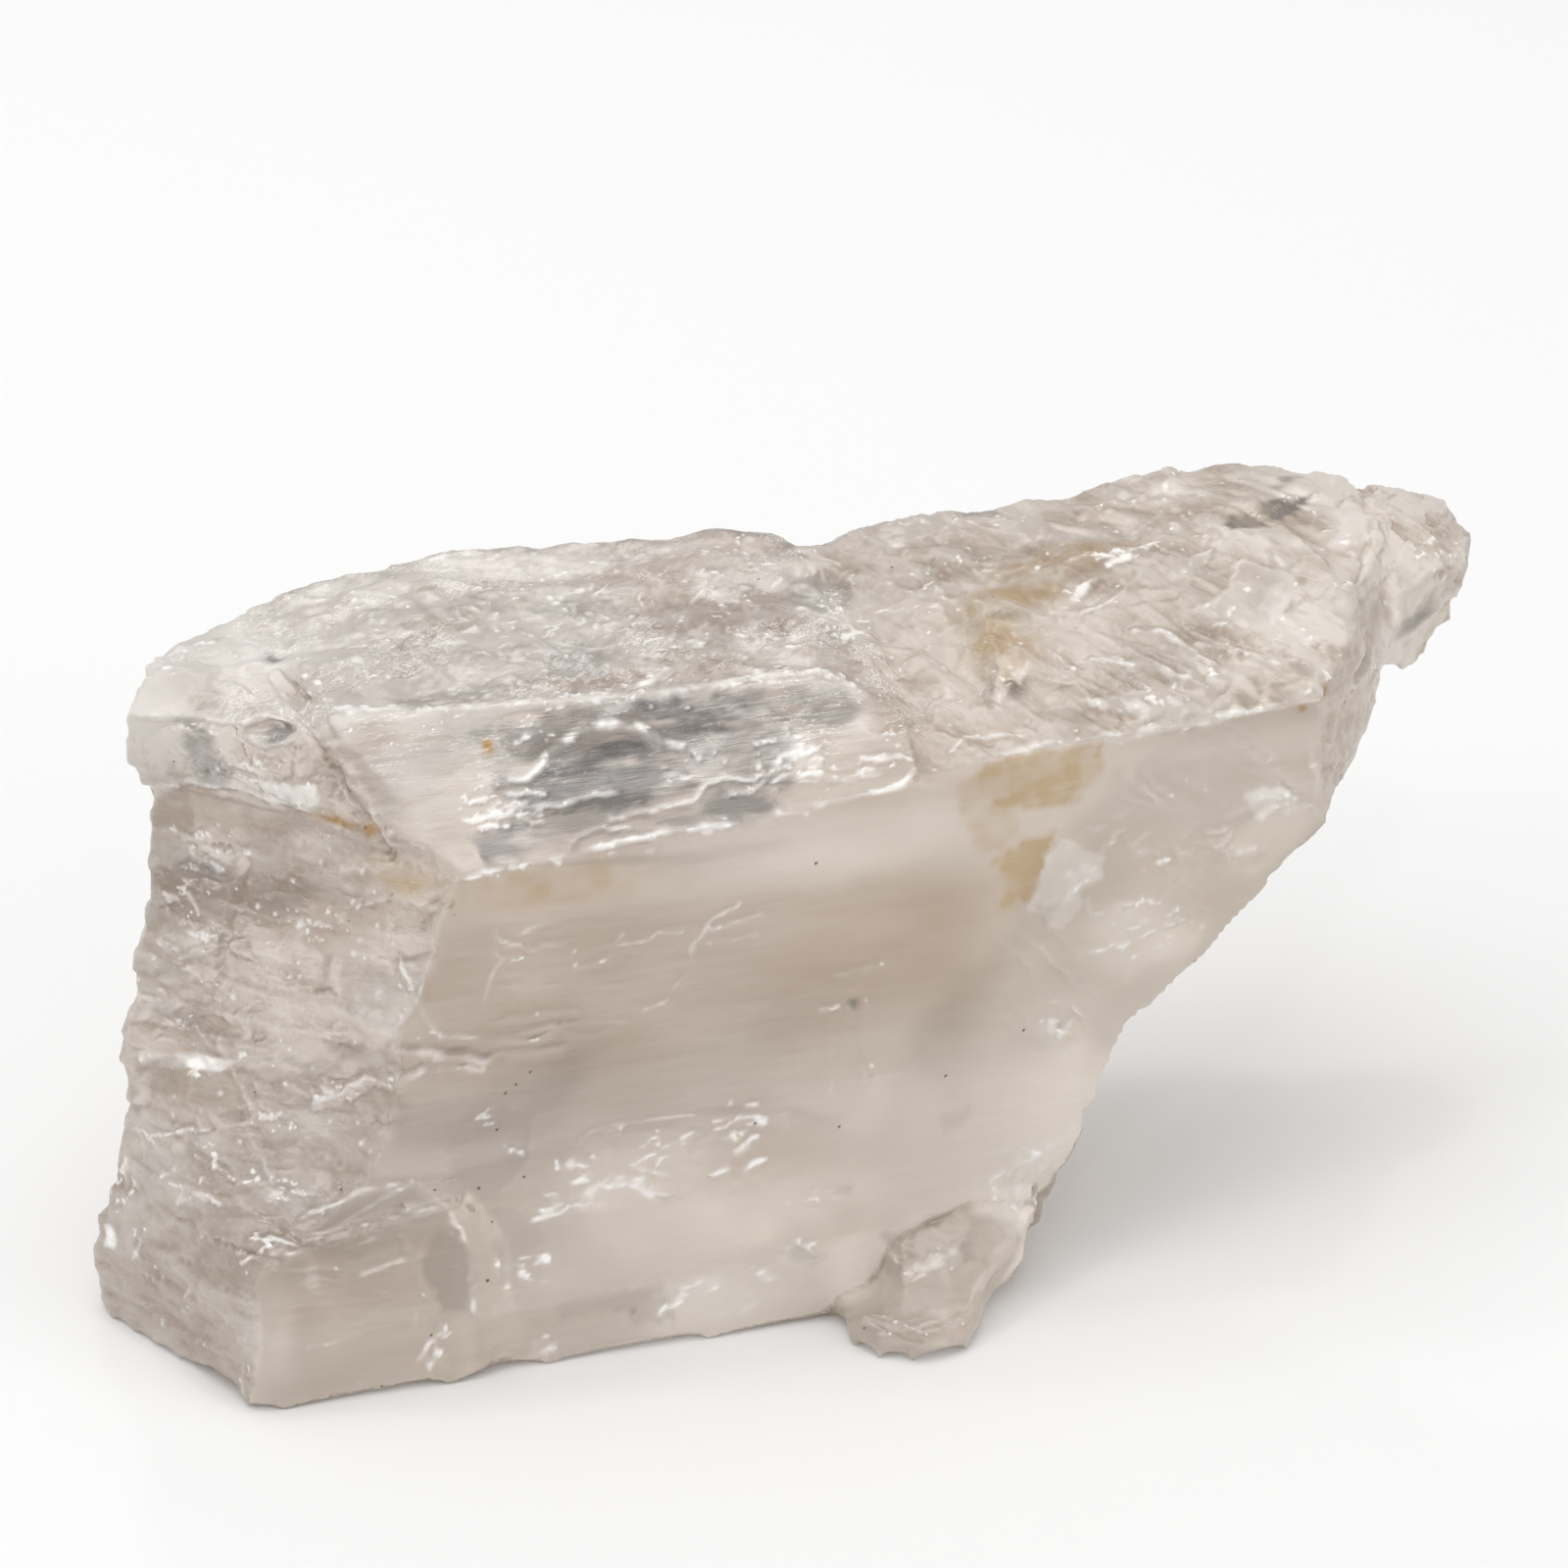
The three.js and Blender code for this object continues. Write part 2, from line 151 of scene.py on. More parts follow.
def chips(points, size, seed=0):
    # flat splinters, each with its own tilt and level, and the distance to the splinter's edge
    p = points / np.asarray(size, float) + 1000
    cell = np.floor(p).astype(np.int64)
    nearest, second = np.full(len(p), 9.0), np.full(len(p), 9.0)
    offset, owner = np.zeros_like(p), np.zeros_like(cell)
    for step in np.ndindex(3, 3, 3):
        c = cell + step - 1
        away = p - c - np.stack([hashed(c, seed + k) for k in (1, 2, 3)], 1)
        far = np.sqrt((away ** 2).sum(1))
        closer = far < nearest
        second = np.where(closer, nearest, np.minimum(second, far))
        offset = np.where(closer[:, None], away, offset)
        owner = np.where(closer[:, None], c, owner)
        nearest = np.where(closer, far, nearest)
    tilt = np.stack([hashed(owner, seed + k) - 0.5 for k in (7, 8, 9)], 1)
    return (offset * tilt).sum(1) * 2, hashed(owner, seed + 11), second - nearest


def terraces(height, steps, riser=0.3, lean=0.25):
    # flat treads with short risers
    scaled = height * steps
    tread = np.floor(scaled)
    return (tread + ease(scaled - tread, 1 - riser, 1) + lean * (scaled - tread)) / steps


def lineDistance(points, line, reach):
    line = np.asarray(line, float)
    best = np.full(len(points), 99.0)
    near = np.nonzero(((points > line.min(0) - reach) & (points < line.max(0) + reach)).all(1))[0]
    for a, b in zip(line[:-1], line[1:]):
        along = b - a
        t = np.clip(((points[near] - a) @ along) / max(along @ along, 1e-9), 0, 1)
        best[near] = np.minimum(best[near], np.linalg.norm(points[near] - (a + t[:, None] * along), axis=1))
    return best


def lineMask(points, line, width):
    return np.exp(-((lineDistance(points, line, 3 * width) / width) ** 2))


def crestMask(points, line, width):
    # a knife-edged crest
    return np.clip(1 - lineDistance(points, line, 2 * width) / (1.6 * width), 0, 1)


def onSurface(piece, line):
    # the line laid on the piece's surface in short steps
    line = np.asarray(line, float)
    laid = [a + t * (b - a) for a, b in zip(line[:-1], line[1:])
            for t in np.arange(0, 1, 0.35 / max(0.35, np.linalg.norm(b - a)))] + [line[-1]]
    laid = [piece.closest_point_on_mesh(Vector((p + drawingShift) * mm))[1] for p in laid]
    return np.array(laid) / mm - drawingShift


def bulge(piece, points, normals):
    # how far each point stands out from its neighbours, against their distance
    pairs = np.empty(len(piece.data.edges) * 2, np.int32)
    piece.data.edges.foreach_get("vertices", pairs)
    a, b = np.concatenate((pairs.reshape(-1, 2), pairs.reshape(-1, 2)[:, ::-1])).T
    count = np.bincount(a, minlength=len(points))
    middle = np.stack([np.bincount(a, points[b, k], len(points)) / count for k in range(3)], 1)
    reach = np.bincount(a, np.linalg.norm(points[a] - points[b], axis=1), len(points)) / count
    return ((points - middle) * normals).sum(1) / reach


def grainwise(points, along, size):
    # points measured along a grain, for splinters that run one way
    first = np.array(along, float) / np.linalg.norm(along)
    second = np.cross(first, (0, 0, 1))
    second /= np.linalg.norm(second)
    return np.stack([points @ first, points @ second, points @ np.cross(first, second)], 1) / size


def patchMask(points, outline, axes, soft):
    # inside an outline drawn from the front or from above
    flat, corners = points[:, axes], np.array(outline, float)
    inside, edge = np.zeros(len(flat), bool), np.full(len(flat), 99.0)
    for a, b in zip(corners, np.roll(corners, -1, 0)):
        along = b - a
        crossing = a[0] + (flat[:, 1] - a[1]) * along[0] / (along[1] + 1e-9)
        inside ^= ((a[1] > flat[:, 1]) != (b[1] > flat[:, 1])) & (flat[:, 0] < crossing)
        t = np.clip(((flat - a) @ along) / (along @ along), 0, 1)
        edge = np.minimum(edge, np.linalg.norm(flat - (a + t[:, None] * along), axis=1))
    return ease(np.where(inside, edge, -edge), -soft, soft)


def spotMask(points, spots):
    # each spot: its place, then its reach along x, y and z
    total = np.zeros(len(points))
    for place, reach in spots:
        away = (points - place) / np.asarray(reach, float)
        total = np.maximum(total, np.exp(-((away ** 2).sum(1)) ** 1.5))
    return total


bodyLook = {
    "grain": 0.525,          # mesh size on the hidden sides, mm; half of it where seen, a quarter on fine parts
    "weld": 0.000002,        # metres
    "seenTurn": 0.08,        # how far a face has to turn to the seen side to be meshed finer
    "fineHeight": 18.2,      # above this height, mm, the mesh is finest
    "fineTurn": 0.45,        # where the surface faces up this much
    "roundingPasses": 6,
    "spotPasses": 50,
    "smoothAngle": 40,
    "seenFrom": np.array((-0.2962, -0.8138, 0.5)),
    "frontOut": np.array((-0.09, -0.98, 0.16)),
    "bevelOut": np.array((-0.12, -0.66, 0.74)),
    "wingOut": np.array((-0.08, -0.43, 0.90)),
    "leftOut": np.array((-0.80, -0.55, 0.25)),
    "frontGrain": (1, -0.09, 0.02),
    "wingGrain": (0.6, -0.7, -0.3),
    "leftGrain": (0.55, -0.8, 0.12),
    "ridge": ((-10.9, -4.5, 18.4), (-6.7, -4.9, 18.5), (0.2, -5.5, 18.9), (4.9, -5.8, 19.7), (7.4, -5.5, 20.0),
              (10.8, -6.0, 20.3), (14.3, -6.5, 20.5), (19.3, -7.0, 20.8)),
    "crest": ((-13.6, 1.2, 22.2), (-12.7, 0.8, 22.4), (-10.3, 0.0, 22.4), (-8.7, -0.4, 22.4), (-5.9, -0.9, 22.4),
              (-4.3, -1.2, 22.4), (-1.9, -1.6, 22.4), (0.3, -1.5, 22.3), (1.9, -1.7, 22.4), (3.2, -2.1, 22.2),
              (4.0, -2.8, 21.8)),
}

# cracks, ribs, ledges, streaks and painted highlight lines: (line, width, lift, white of frost and painted
# highlight), lift along the surface's own direction, in mm
marks = {
    "crackHigh": (((-8.6, -2.5, 20.6), (-8.1, -2.6, 20.7), (-7.7, -2.5, 20.8), (-7.2, -2.2, 21.0),
        (-6.6, -2.0, 21.4), (-6.0, -1.8, 21.6), (-5.4, -1.8, 21.7), (-4.7, -1.9, 21.7), (-4.1, -2.1, 21.6),
        (-3.7, -2.3, 21.4), (-3.1, -2.7, 21.1), (-2.5, -3.0, 20.9), (-2.1, -3.4, 20.7)), 0.17, 0.06, 1.25),
    "crackLow": (((-5.7, -4.3, 19.4), (-4.3, -4.5, 19.5), (-2.9, -4.6, 19.7), (-2.2, -4.3, 20.1),
        (-1.5, -4.2, 20.2), (-0.5, -4.5, 20.1)), 0.09, 0.06, 0.95),
    "crackFoot": (((-7.3, -4.7, 18.8), (-7.0, -4.5, 19.0), (-6.1, -4.5, 19.2), (-5.1, -4.7, 19.2)),
        0.09, 0.05, 0.9),
    "crackMiddle": (((-8.6, -3.3, 19.9), (-6.7, -3.6, 19.9), (-5.8, -3.6, 20.0), (-5.2, -3.7, 20.0)),
        0.12, 0.06, 0.9),
    "crackRight": (((-1.5, -4.7, 19.8), (-0.7, -4.8, 19.8), (-0.2, -4.6, 20.1), (0.4, -4.5, 20.3)),
        0.09, 0.06, 0.9),
    "rowHigh": (((0.3, -4.7, 20.1), (1.4, -4.9, 20.1), (2.1, -5.2, 19.9), (3.8, -5.4, 20.0)), 0.14, 0.06, 1.2),
    "rowLow": (((0.4, -4.8, 20.0), (1.4, -5.1, 19.9), (2.4, -5.4, 19.8)), 0.09, 0.05, 1.0),
    # rim, crest and wingEdge are painted highlights along the edges
    "rim": (((5.0, -5.5, 20.0), (4.4, -5.9, 19.7), (2.5, -5.8, 19.4), (0.6, -5.6, 19.2), (-1.9, -5.4, 19.1),
        (-5.0, -5.0, 18.9), (-8.0, -4.8, 18.6), (-10.8, -4.5, 18.3)), 0.12, 0.03, 1.3),
    "crest": (bodyLook["crest"], 0.2, 0.05, 0.75),
    "wingEdge": (bodyLook["ridge"][4:], 0.2, 0, 0.8),
    "groove": (((-14.5, 4.0, 21.9), (-14.7, 0.8, 22.1), (-14.3, -0.1, 21.3), (-14.1, -0.8, 20.8),
        (-13.8, -1.4, 20.2), (-13.3, -2.1, 19.2), (-12.9, -2.3, 18.4)), 0.16, -0.26, 0),
    "ribD": (((11.9, -4.2, 21.5), (12.5, -4.9, 20.8), (13.3, -6.0, 20.5)), 0.16, 0.16, 0.5),
    "ribE": (((17.9, -4.3, 21.5), (19.5, -5.8, 21.1)), 0.16, 0.16, 0.6),
    "leftRidgeA": (((-13.8, -4.9, 12.3), (-12.3, -5.4, 12.0), (-10.7, -5.6, 11.6)), 0.18, 0.16, 0.7),
    "leftRidgeB": (((-15.8, -3.0, 10.0), (-15.3, -3.5, 10.0), (-14.0, -4.7, 11.0)), 0.24, 0.2, 0.7),
    "leftRidgeC": (((-16.1, 0, 14.4), (-15.4, -0.5, 14.8), (-14.5, -1.1, 15.6)), 0.18, 0.14, 0.7),
    "blockSide": (((-19.5, -5.7, 5.0), (-19.8, -6.0, 3.1), (-20.1, -6.5, 0.4)), 0.14, 0, 0.6),
    "blockRow": (((-19.6, -5.0, 5.4), (-18.6, -5.3, 5.8), (-17.8, -6.1, 5.7)), 0.16, 0.08, 0.9),
    "cornerEdge": (((10.1, -8.4, 5.9), (9.5, -8.4, 5.4), (8.7, -8.4, 5.0), (8.0, -8.4, 4.8), (7.3, -8.4, 4.5),
        (6.8, -8.4, 4.2)), 0.15, 0.08, 0.9),
    "cornerFold": (((9.3, -8.4, 5.3), (8.7, -8.5, 4.4), (8.2, -9.0, 3.3), (7.6, -9.6, 2.6)), 0.12, 0.08, 0.5),
    "rampSeam": (((2.9, -8.3, 2.8), (2.9, -8.4, 1.7), (3.0, -8.2, 0.3)), 0.09, -0.04, 0),
    "rampEdge": (((3.5, -8.6, 2.9), (3.2, -9.4, 2.3), (3.0, -10.0, 1.8), (2.6, -11.1, 1.2)), 0.09, 0.03, 0.25),
    "rampNotch": (((3.0, -9.6, 2.0), (3.1, -10.0, 1.8), (3.8, -10.1, 2.1)), 0.09, 0.04, 0.7),
    "rampDashA": (((4.5, -10.3, 2.4), (5.1, -10.45, 2.35)), 0.16, -0.04, 0),
    "rampDashB": (((5.2, -10.4, 2.45), (5.9, -10.5, 2.4)), 0.14, -0.04, 0),
    "toeArc": (((1.1, -10.4, 1.1), (1.7, -10.3, 1.1), (2.1, -10.7, 1.1), (2.6, -11.5, 1.2), (3.0, -11.9, 1.1),
        (3.5, -12.0, 1.1)), 0.09, 0.05, 0.5),
    "toeArcLow": (((1.6, -10.7, 1.1), (1.8, -11.1, 0.9), (2.3, -11.7, 0.9), (2.9, -12.1, 0.8)), 0.1, -0.08, 0),
    "toeLine": (((2.8, -11.8, 1.2), (3.7, -11.9, 1.3), (4.5, -11.7, 1.4), (5.0, -11.6, 1.4)), 0.09, -0.07, 0),
    "knobStep": (((25.7, 3.0, 22.8), (23.3, -1.9, 22.1), (23.3, -2.9, 20.5), (21.9, -4.8, 20.0)), 0.2, -0.24, 0),
    "hairA": (((2.2, 6.4, 22.1), (0.5, 4.9, 22.1), (-0.8, 2.9, 22.2), (-1.9, 0.9, 22.2)), 0.09, 0.03, 0.7),
    "hairB": (((2.3, 8.4, 22.1), (0.7, 6.3, 22.1)), 0.09, 0.03, 0.7),
    "hairC": (((-5.8, 5.2, 21.8), (-5.2, 3.8, 21.9), (-5.0, 2.0, 22.2)), 0.09, 0.03, 0.6),
    "hairD": (((-5.0, 4.2, 21.9), (-3.6, 2.6, 22.1), (-4.0, 1.0, 22.3), (-4.7, -0.5, 22.4)), 0.09, 0.03, 0.7),
    "hairE": (((-0.7, 11.0, 21.8), (-1.3, 7.9, 22.1)), 0.09, 0.03, 0.6),
    "slabFlash": (((-3.5, -1.0, 22.4), (-2.2, 0.1, 22.3)), 0.22, 0.05, 1.0),
    "slabRim": (((4.1, 3.9, 21.6), (4.2, 1.9, 22.2), (5.3, 1.6, 21.8)), 0.34, 0.06, 0.9),
    "stripA": (((19.2, -7.2, 18.7), (19.4, -7.4, 17.5), (19.2, -7.5, 16.4)), 0.1, 0.08, 0.6),
    "stripB": (((20.9, -6.1, 17.8), (20.6, -6.5, 16.8)), 0.1, 0.08, 0.6),
    "knee": (((-13.2, -3.6, 15.0), (-13.0, -4.2, 14.5), (-12.9, -4.9, 13.9), (-12.6, -5.2, 13.2),
        (-12.2, -5.2, 12.7)), 0.12, 0.08, 1.0),
    "leftString": (((-16.1, -3.0, 9.4), (-15.5, -3.3, 9.8), (-14.5, -4.1, 10.6), (-14.0, -4.8, 11.0),
        (-13.0, -5.4, 11.5)), 0.16, 0.1, 0.9),
    "lumpEdge": (((-19.8, 5.4, 18.2), (-19.2, 4.7, 18.5), (-18.6, 3.7, 19.1), (-17.5, 2.5, 19.4),
        (-16.5, 1.5, 19.3), (-15.4, 0.2, 19.3), (-14.6, -0.7, 19.3)), 0.14, 0.1, 0.7),
    "columnRidge": (((-16.8, 2.0, 16.3), (-17.5, 1.7, 14.7), (-18.2, 1.0, 13.2), (-18.8, 0.8, 11.3)),
        0.22, -0.14, 0),
    "facetTop": (((-16.4, 0, 14.1), (-15.9, -0.1, 14.7), (-15.0, -0.7, 15.4), (-14.0, -1.4, 16.1),
        (-13.3, -2.5, 16.8)), 0.14, 0.1, 0.5),
    "leftSeam": (((-18.6, 0.1, 10.7), (-18.3, -1.3, 9.3), (-18.0, -2.0, 8.7), (-18.5, -2.0, 8.4),
        (-18.1, -2.7, 7.7), (-18.0, -3.7, 7.0)), 0.14, 0.1, 0.5),
    "thinA": (((-21.6, 1.8, 6.6), (-21.1, 0.7, 6.9), (-19.6, -1.5, 8.2)), 0.09, 0.05, 0.8),
    "thinB": (((-21.0, -1.0, 5.9), (-20.1, -3.0, 6.5), (-19.8, -3.5, 6.4)), 0.09, 0.05, 0.8),
    "thinC": (((-20.2, -1.4, 7.2), (-19.5, -2.6, 7.2), (-19.2, -3.0, 7.0)), 0.09, 0.05, 0.7),
    "blockCorner": (((-19.6, -5.4, 5.2), (-18.6, -6.0, 5.5), (-17.6, -6.5, 5.6)), 0.12, 0.08, 1.0),
    "wedge": (((12.8, -1.4, 22.6), (13.7, -1.2, 22.7), (14.6, -0.8, 22.9), (15.6, -0.1, 23.0)), 0.14, 0.08, 0.8),
    "ribA": (((14.4, -2.6, 22.0), (15.2, -2.7, 21.9), (15.9, -3.2, 21.7), (16.1, -3.7, 21.5)), 0.18, 0.14, 1.0),
    "ribB": (((12.4, -3.3, 21.6), (13.4, -3.6, 21.5), (14.8, -4.6, 21.4), (15.8, -5.6, 21.1)), 0.18, 0.16, 0.9),
    "ribC": (((16.5, -3.5, 21.6), (17.6, -4.2, 21.4), (18.6, -5.4, 21.3)), 0.16, 0.14, 0.9),
    "ribShade": (((15.8, -2.1, 22.4), (17.6, -2.9, 21.7), (18.7, -4.5, 21.6)), 0.16, -0.14, 0),
    "ribShadeLow": (((13.1, -2.2, 22.3), (14.2, -2.8, 22.0), (15.6, -3.9, 21.6), (15.9, -5.3, 21.4)),
        0.18, -0.14, 0),
    "lensTop": (((6.5, -5.1, 20.1), (7.1, -4.8, 20.4), (8.3, -5.1, 20.5), (9.1, -5.4, 20.3)), 0.09, 0.05, 0.8),
    "lensLow": (((6.5, -5.1, 20.1), (7.1, -5.4, 20.1), (8.6, -5.5, 20.3), (9.1, -5.4, 20.3)), 0.09, 0.04, 0.5),
    "foldA": (((21.7, 0.1, 22.9), (22.0, -0.5, 22.6), (22.3, -1.1, 22.4)), 0.12, 0.08, 0.7),
    "foldB": (((20.6, -1.2, 22.6), (21.1, -1.4, 22.6), (21.9, -1.7, 22.3)), 0.12, -0.08, 0),
    "wingCrest": (((9.3, 0.9, 22.8), (11.1, 1.1, 22.8), (12.5, 1.6, 23.0), (13.7, 2.2, 23.2)), 0.09, 0.04, 0.55),
    "wingCrestHigh": (((14.6, 2.1, 23.2), (16.3, 2.8, 23.0), (17.7, 3.1, 23.3), (18.7, 2.8, 23.4)),
        0.09, 0.04, 0.55),
}

# the same, drawn on the front cleavage as X and Z
frontMarks = {
    "wispA": (((-1.5, 16.0), (-2.0, 15.8), (-2.5, 15.5), (-2.8, 15.1), (-3.2, 14.7), (-3.4, 14.2)),
        0.09, 0.04, 0.8),
    "wispB": (((-3.4, 13.8), (-3.9, 13.4), (-4.2, 12.9), (-4.4, 12.7), (-5.0, 12.6)), 0.07, 0.04, 0.8),
    "wispC": (((-0.8, 15.5), (-1.7, 15.3), (-2.6, 15.1)), 0.09, 0.03, 0.6),
    "wispD": (((-1.0, 14.8), (-1.8, 14.7), (-2.7, 14.6)), 0.09, 0.03, 0.45),
    "wispE": (((-3.6, 15.2), (-4.4, 15.3), (-4.8, 15.1), (-5.4, 15.1), (-5.9, 15.1)), 0.07, 0.03, 0.7),
    "wispF": (((-5.7, 15.5), (-6.0, 15.2), (-6.7, 15.1)), 0.09, 0.03, 0.55),
    "wispG": (((-6.7, 15.4), (-7.4, 15.5), (-8.1, 15.4), (-8.8, 15.4)), 0.09, 0.03, 0.55),
    "wispH": (((-7.9, 16.2), (-8.5, 16.2), (-9.1, 16.0)), 0.09, 0.03, 0.8),
    "wispI": (((-10.0, 16.2), (-9.9, 15.8), (-9.5, 15.6), (-9.2, 15.6)), 0.09, 0.04, 0.8),
    "wispJ": (((-10.1, 15.3), (-9.9, 15.1), (-10.2, 14.8), (-10.5, 14.0), (-10.7, 13.4)), 0.07, 0.03, 0.6),
    "streakA": (((-9.8, 14.6), (-7.8, 14.6), (-6.1, 14.5)), 0.09, 0.03, 0.3),
    "streakB": (((-9.9, 14.1), (-8.1, 13.9), (-5.6, 13.6)), 0.09, 0.03, 0.3),
    "streakC": (((-10.2, 12.9), (-8.6, 13.0), (-7.4, 12.9)), 0.1, 0.03, 0.35),
    "streakD": (((-9.4, 12.4), (-7.3, 12.4), (-5.9, 12.3)), 0.1, 0.03, 0.35),
    "brightA": (((-12.2, 12.6), (-10.9, 12.4)), 0.09, 0.05, 0.9),
    "brightB": (((-12.3, 11.5), (-11.0, 11.3), (-10.8, 11.3)), 0.12, 0.06, 0.8),
    "pitTail": (((1.1, 11.7), (1.8, 11.7)), 0.09, 0.04, 0.9),
    "frontLine": (((1.7, 12.9), (3.4, 13.1)), 0.09, 0.03, 0.5),
    "lowRightEdge": (((0.3, 9.0), (1.8, 8.9), (4.3, 8.9)), 0.09, 0.03, 0.3),
    "ledgeLine": (((-7.7, 8.0), (-7.1, 8.4), (-6.1, 8.5), (-4.7, 8.5), (-3.3, 8.4), (-1.8, 8.2)), 0.09, 0.05, 0.6),
    "ledgeLineLow": (((-7.7, 8.0), (-6.1, 8.2), (-4.9, 8.0), (-3.8, 7.9), (-2.8, 7.6)), 0.09, 0.04, 0.45),
    "ledgeShade": (((-4.9, 5.3), (-4.4, 5.5), (-3.3, 5.3), (-2.1, 5.1)), 0.09, -0.05, 0),
    "lensRing": (((-0.7, 3.0), (-0.2, 3.0), (0.6, 2.5), (0.5, 2.4), (-0.1, 2.3), (-0.4, 2.5), (-0.7, 2.9)),
        0.09, 0.05, 0.8),
    "middleLine": (((-2.5, 3.1), (-1.0, 3.0)), 0.09, 0.03, 0.6),
    "band": (((-11.8, 2.5), (-10.1, 2.2), (-9.1, 2.2), (-8.6, 2.4), (-6.5, 2.5), (-5.0, 2.5), (-4.0, 2.8),
        (-1.2, 2.5)), 0.09, 0.04, 0.3),
    "lowArc": (((-6.6, 1.5), (-6.0, 1.2), (-5.3, 0.8), (-4.8, 0.8), (-4.5, 1.0)), 0.1, -0.05, 0),
    "blockCurve": (((-17.8, 7.0), (-16.3, 7.3), (-13.5, 7.4), (-13.1, 7.1), (-12.6, 6.4), (-12.1, 5.2),
        (-12.0, 4.0), (-12.0, 2.4)), 0.12, 0.05, 0.9),
    "blockCrack": (((-17.7, 5.6), (-17.1, 5.8), (-16.4, 6.2), (-15.5, 6.6), (-14.9, 6.9), (-13.8, 7.3)),
        0.09, 0.04, 0.6),
    "blockWhite": (((-15.7, 4.6), (-14.7, 4.8), (-13.7, 4.9)), 0.1, 0.04, 0.9),
    "blockTick": (((-14.3, 5.7), (-14.1, 5.2), (-13.7, 4.9)), 0.09, 0.04, 0.9),
    "blockLine": (((-19.5, 3.7), (-16.5, 3.5), (-15.6, 3.6), (-13.8, 3.4)), 0.09, -0.05, 0),
    "blockDrip": (((-13.9, 4.9), (-13.6, 3.3), (-13.2, 2.3), (-13.4, 1.3), (-13.1, 0.5)), 0.1, 0.04, 0.5),
}
for name, (line, *look) in frontMarks.items():
    marks[name] = ([(x, frontY(x, z), z) for x, z in line], *look)
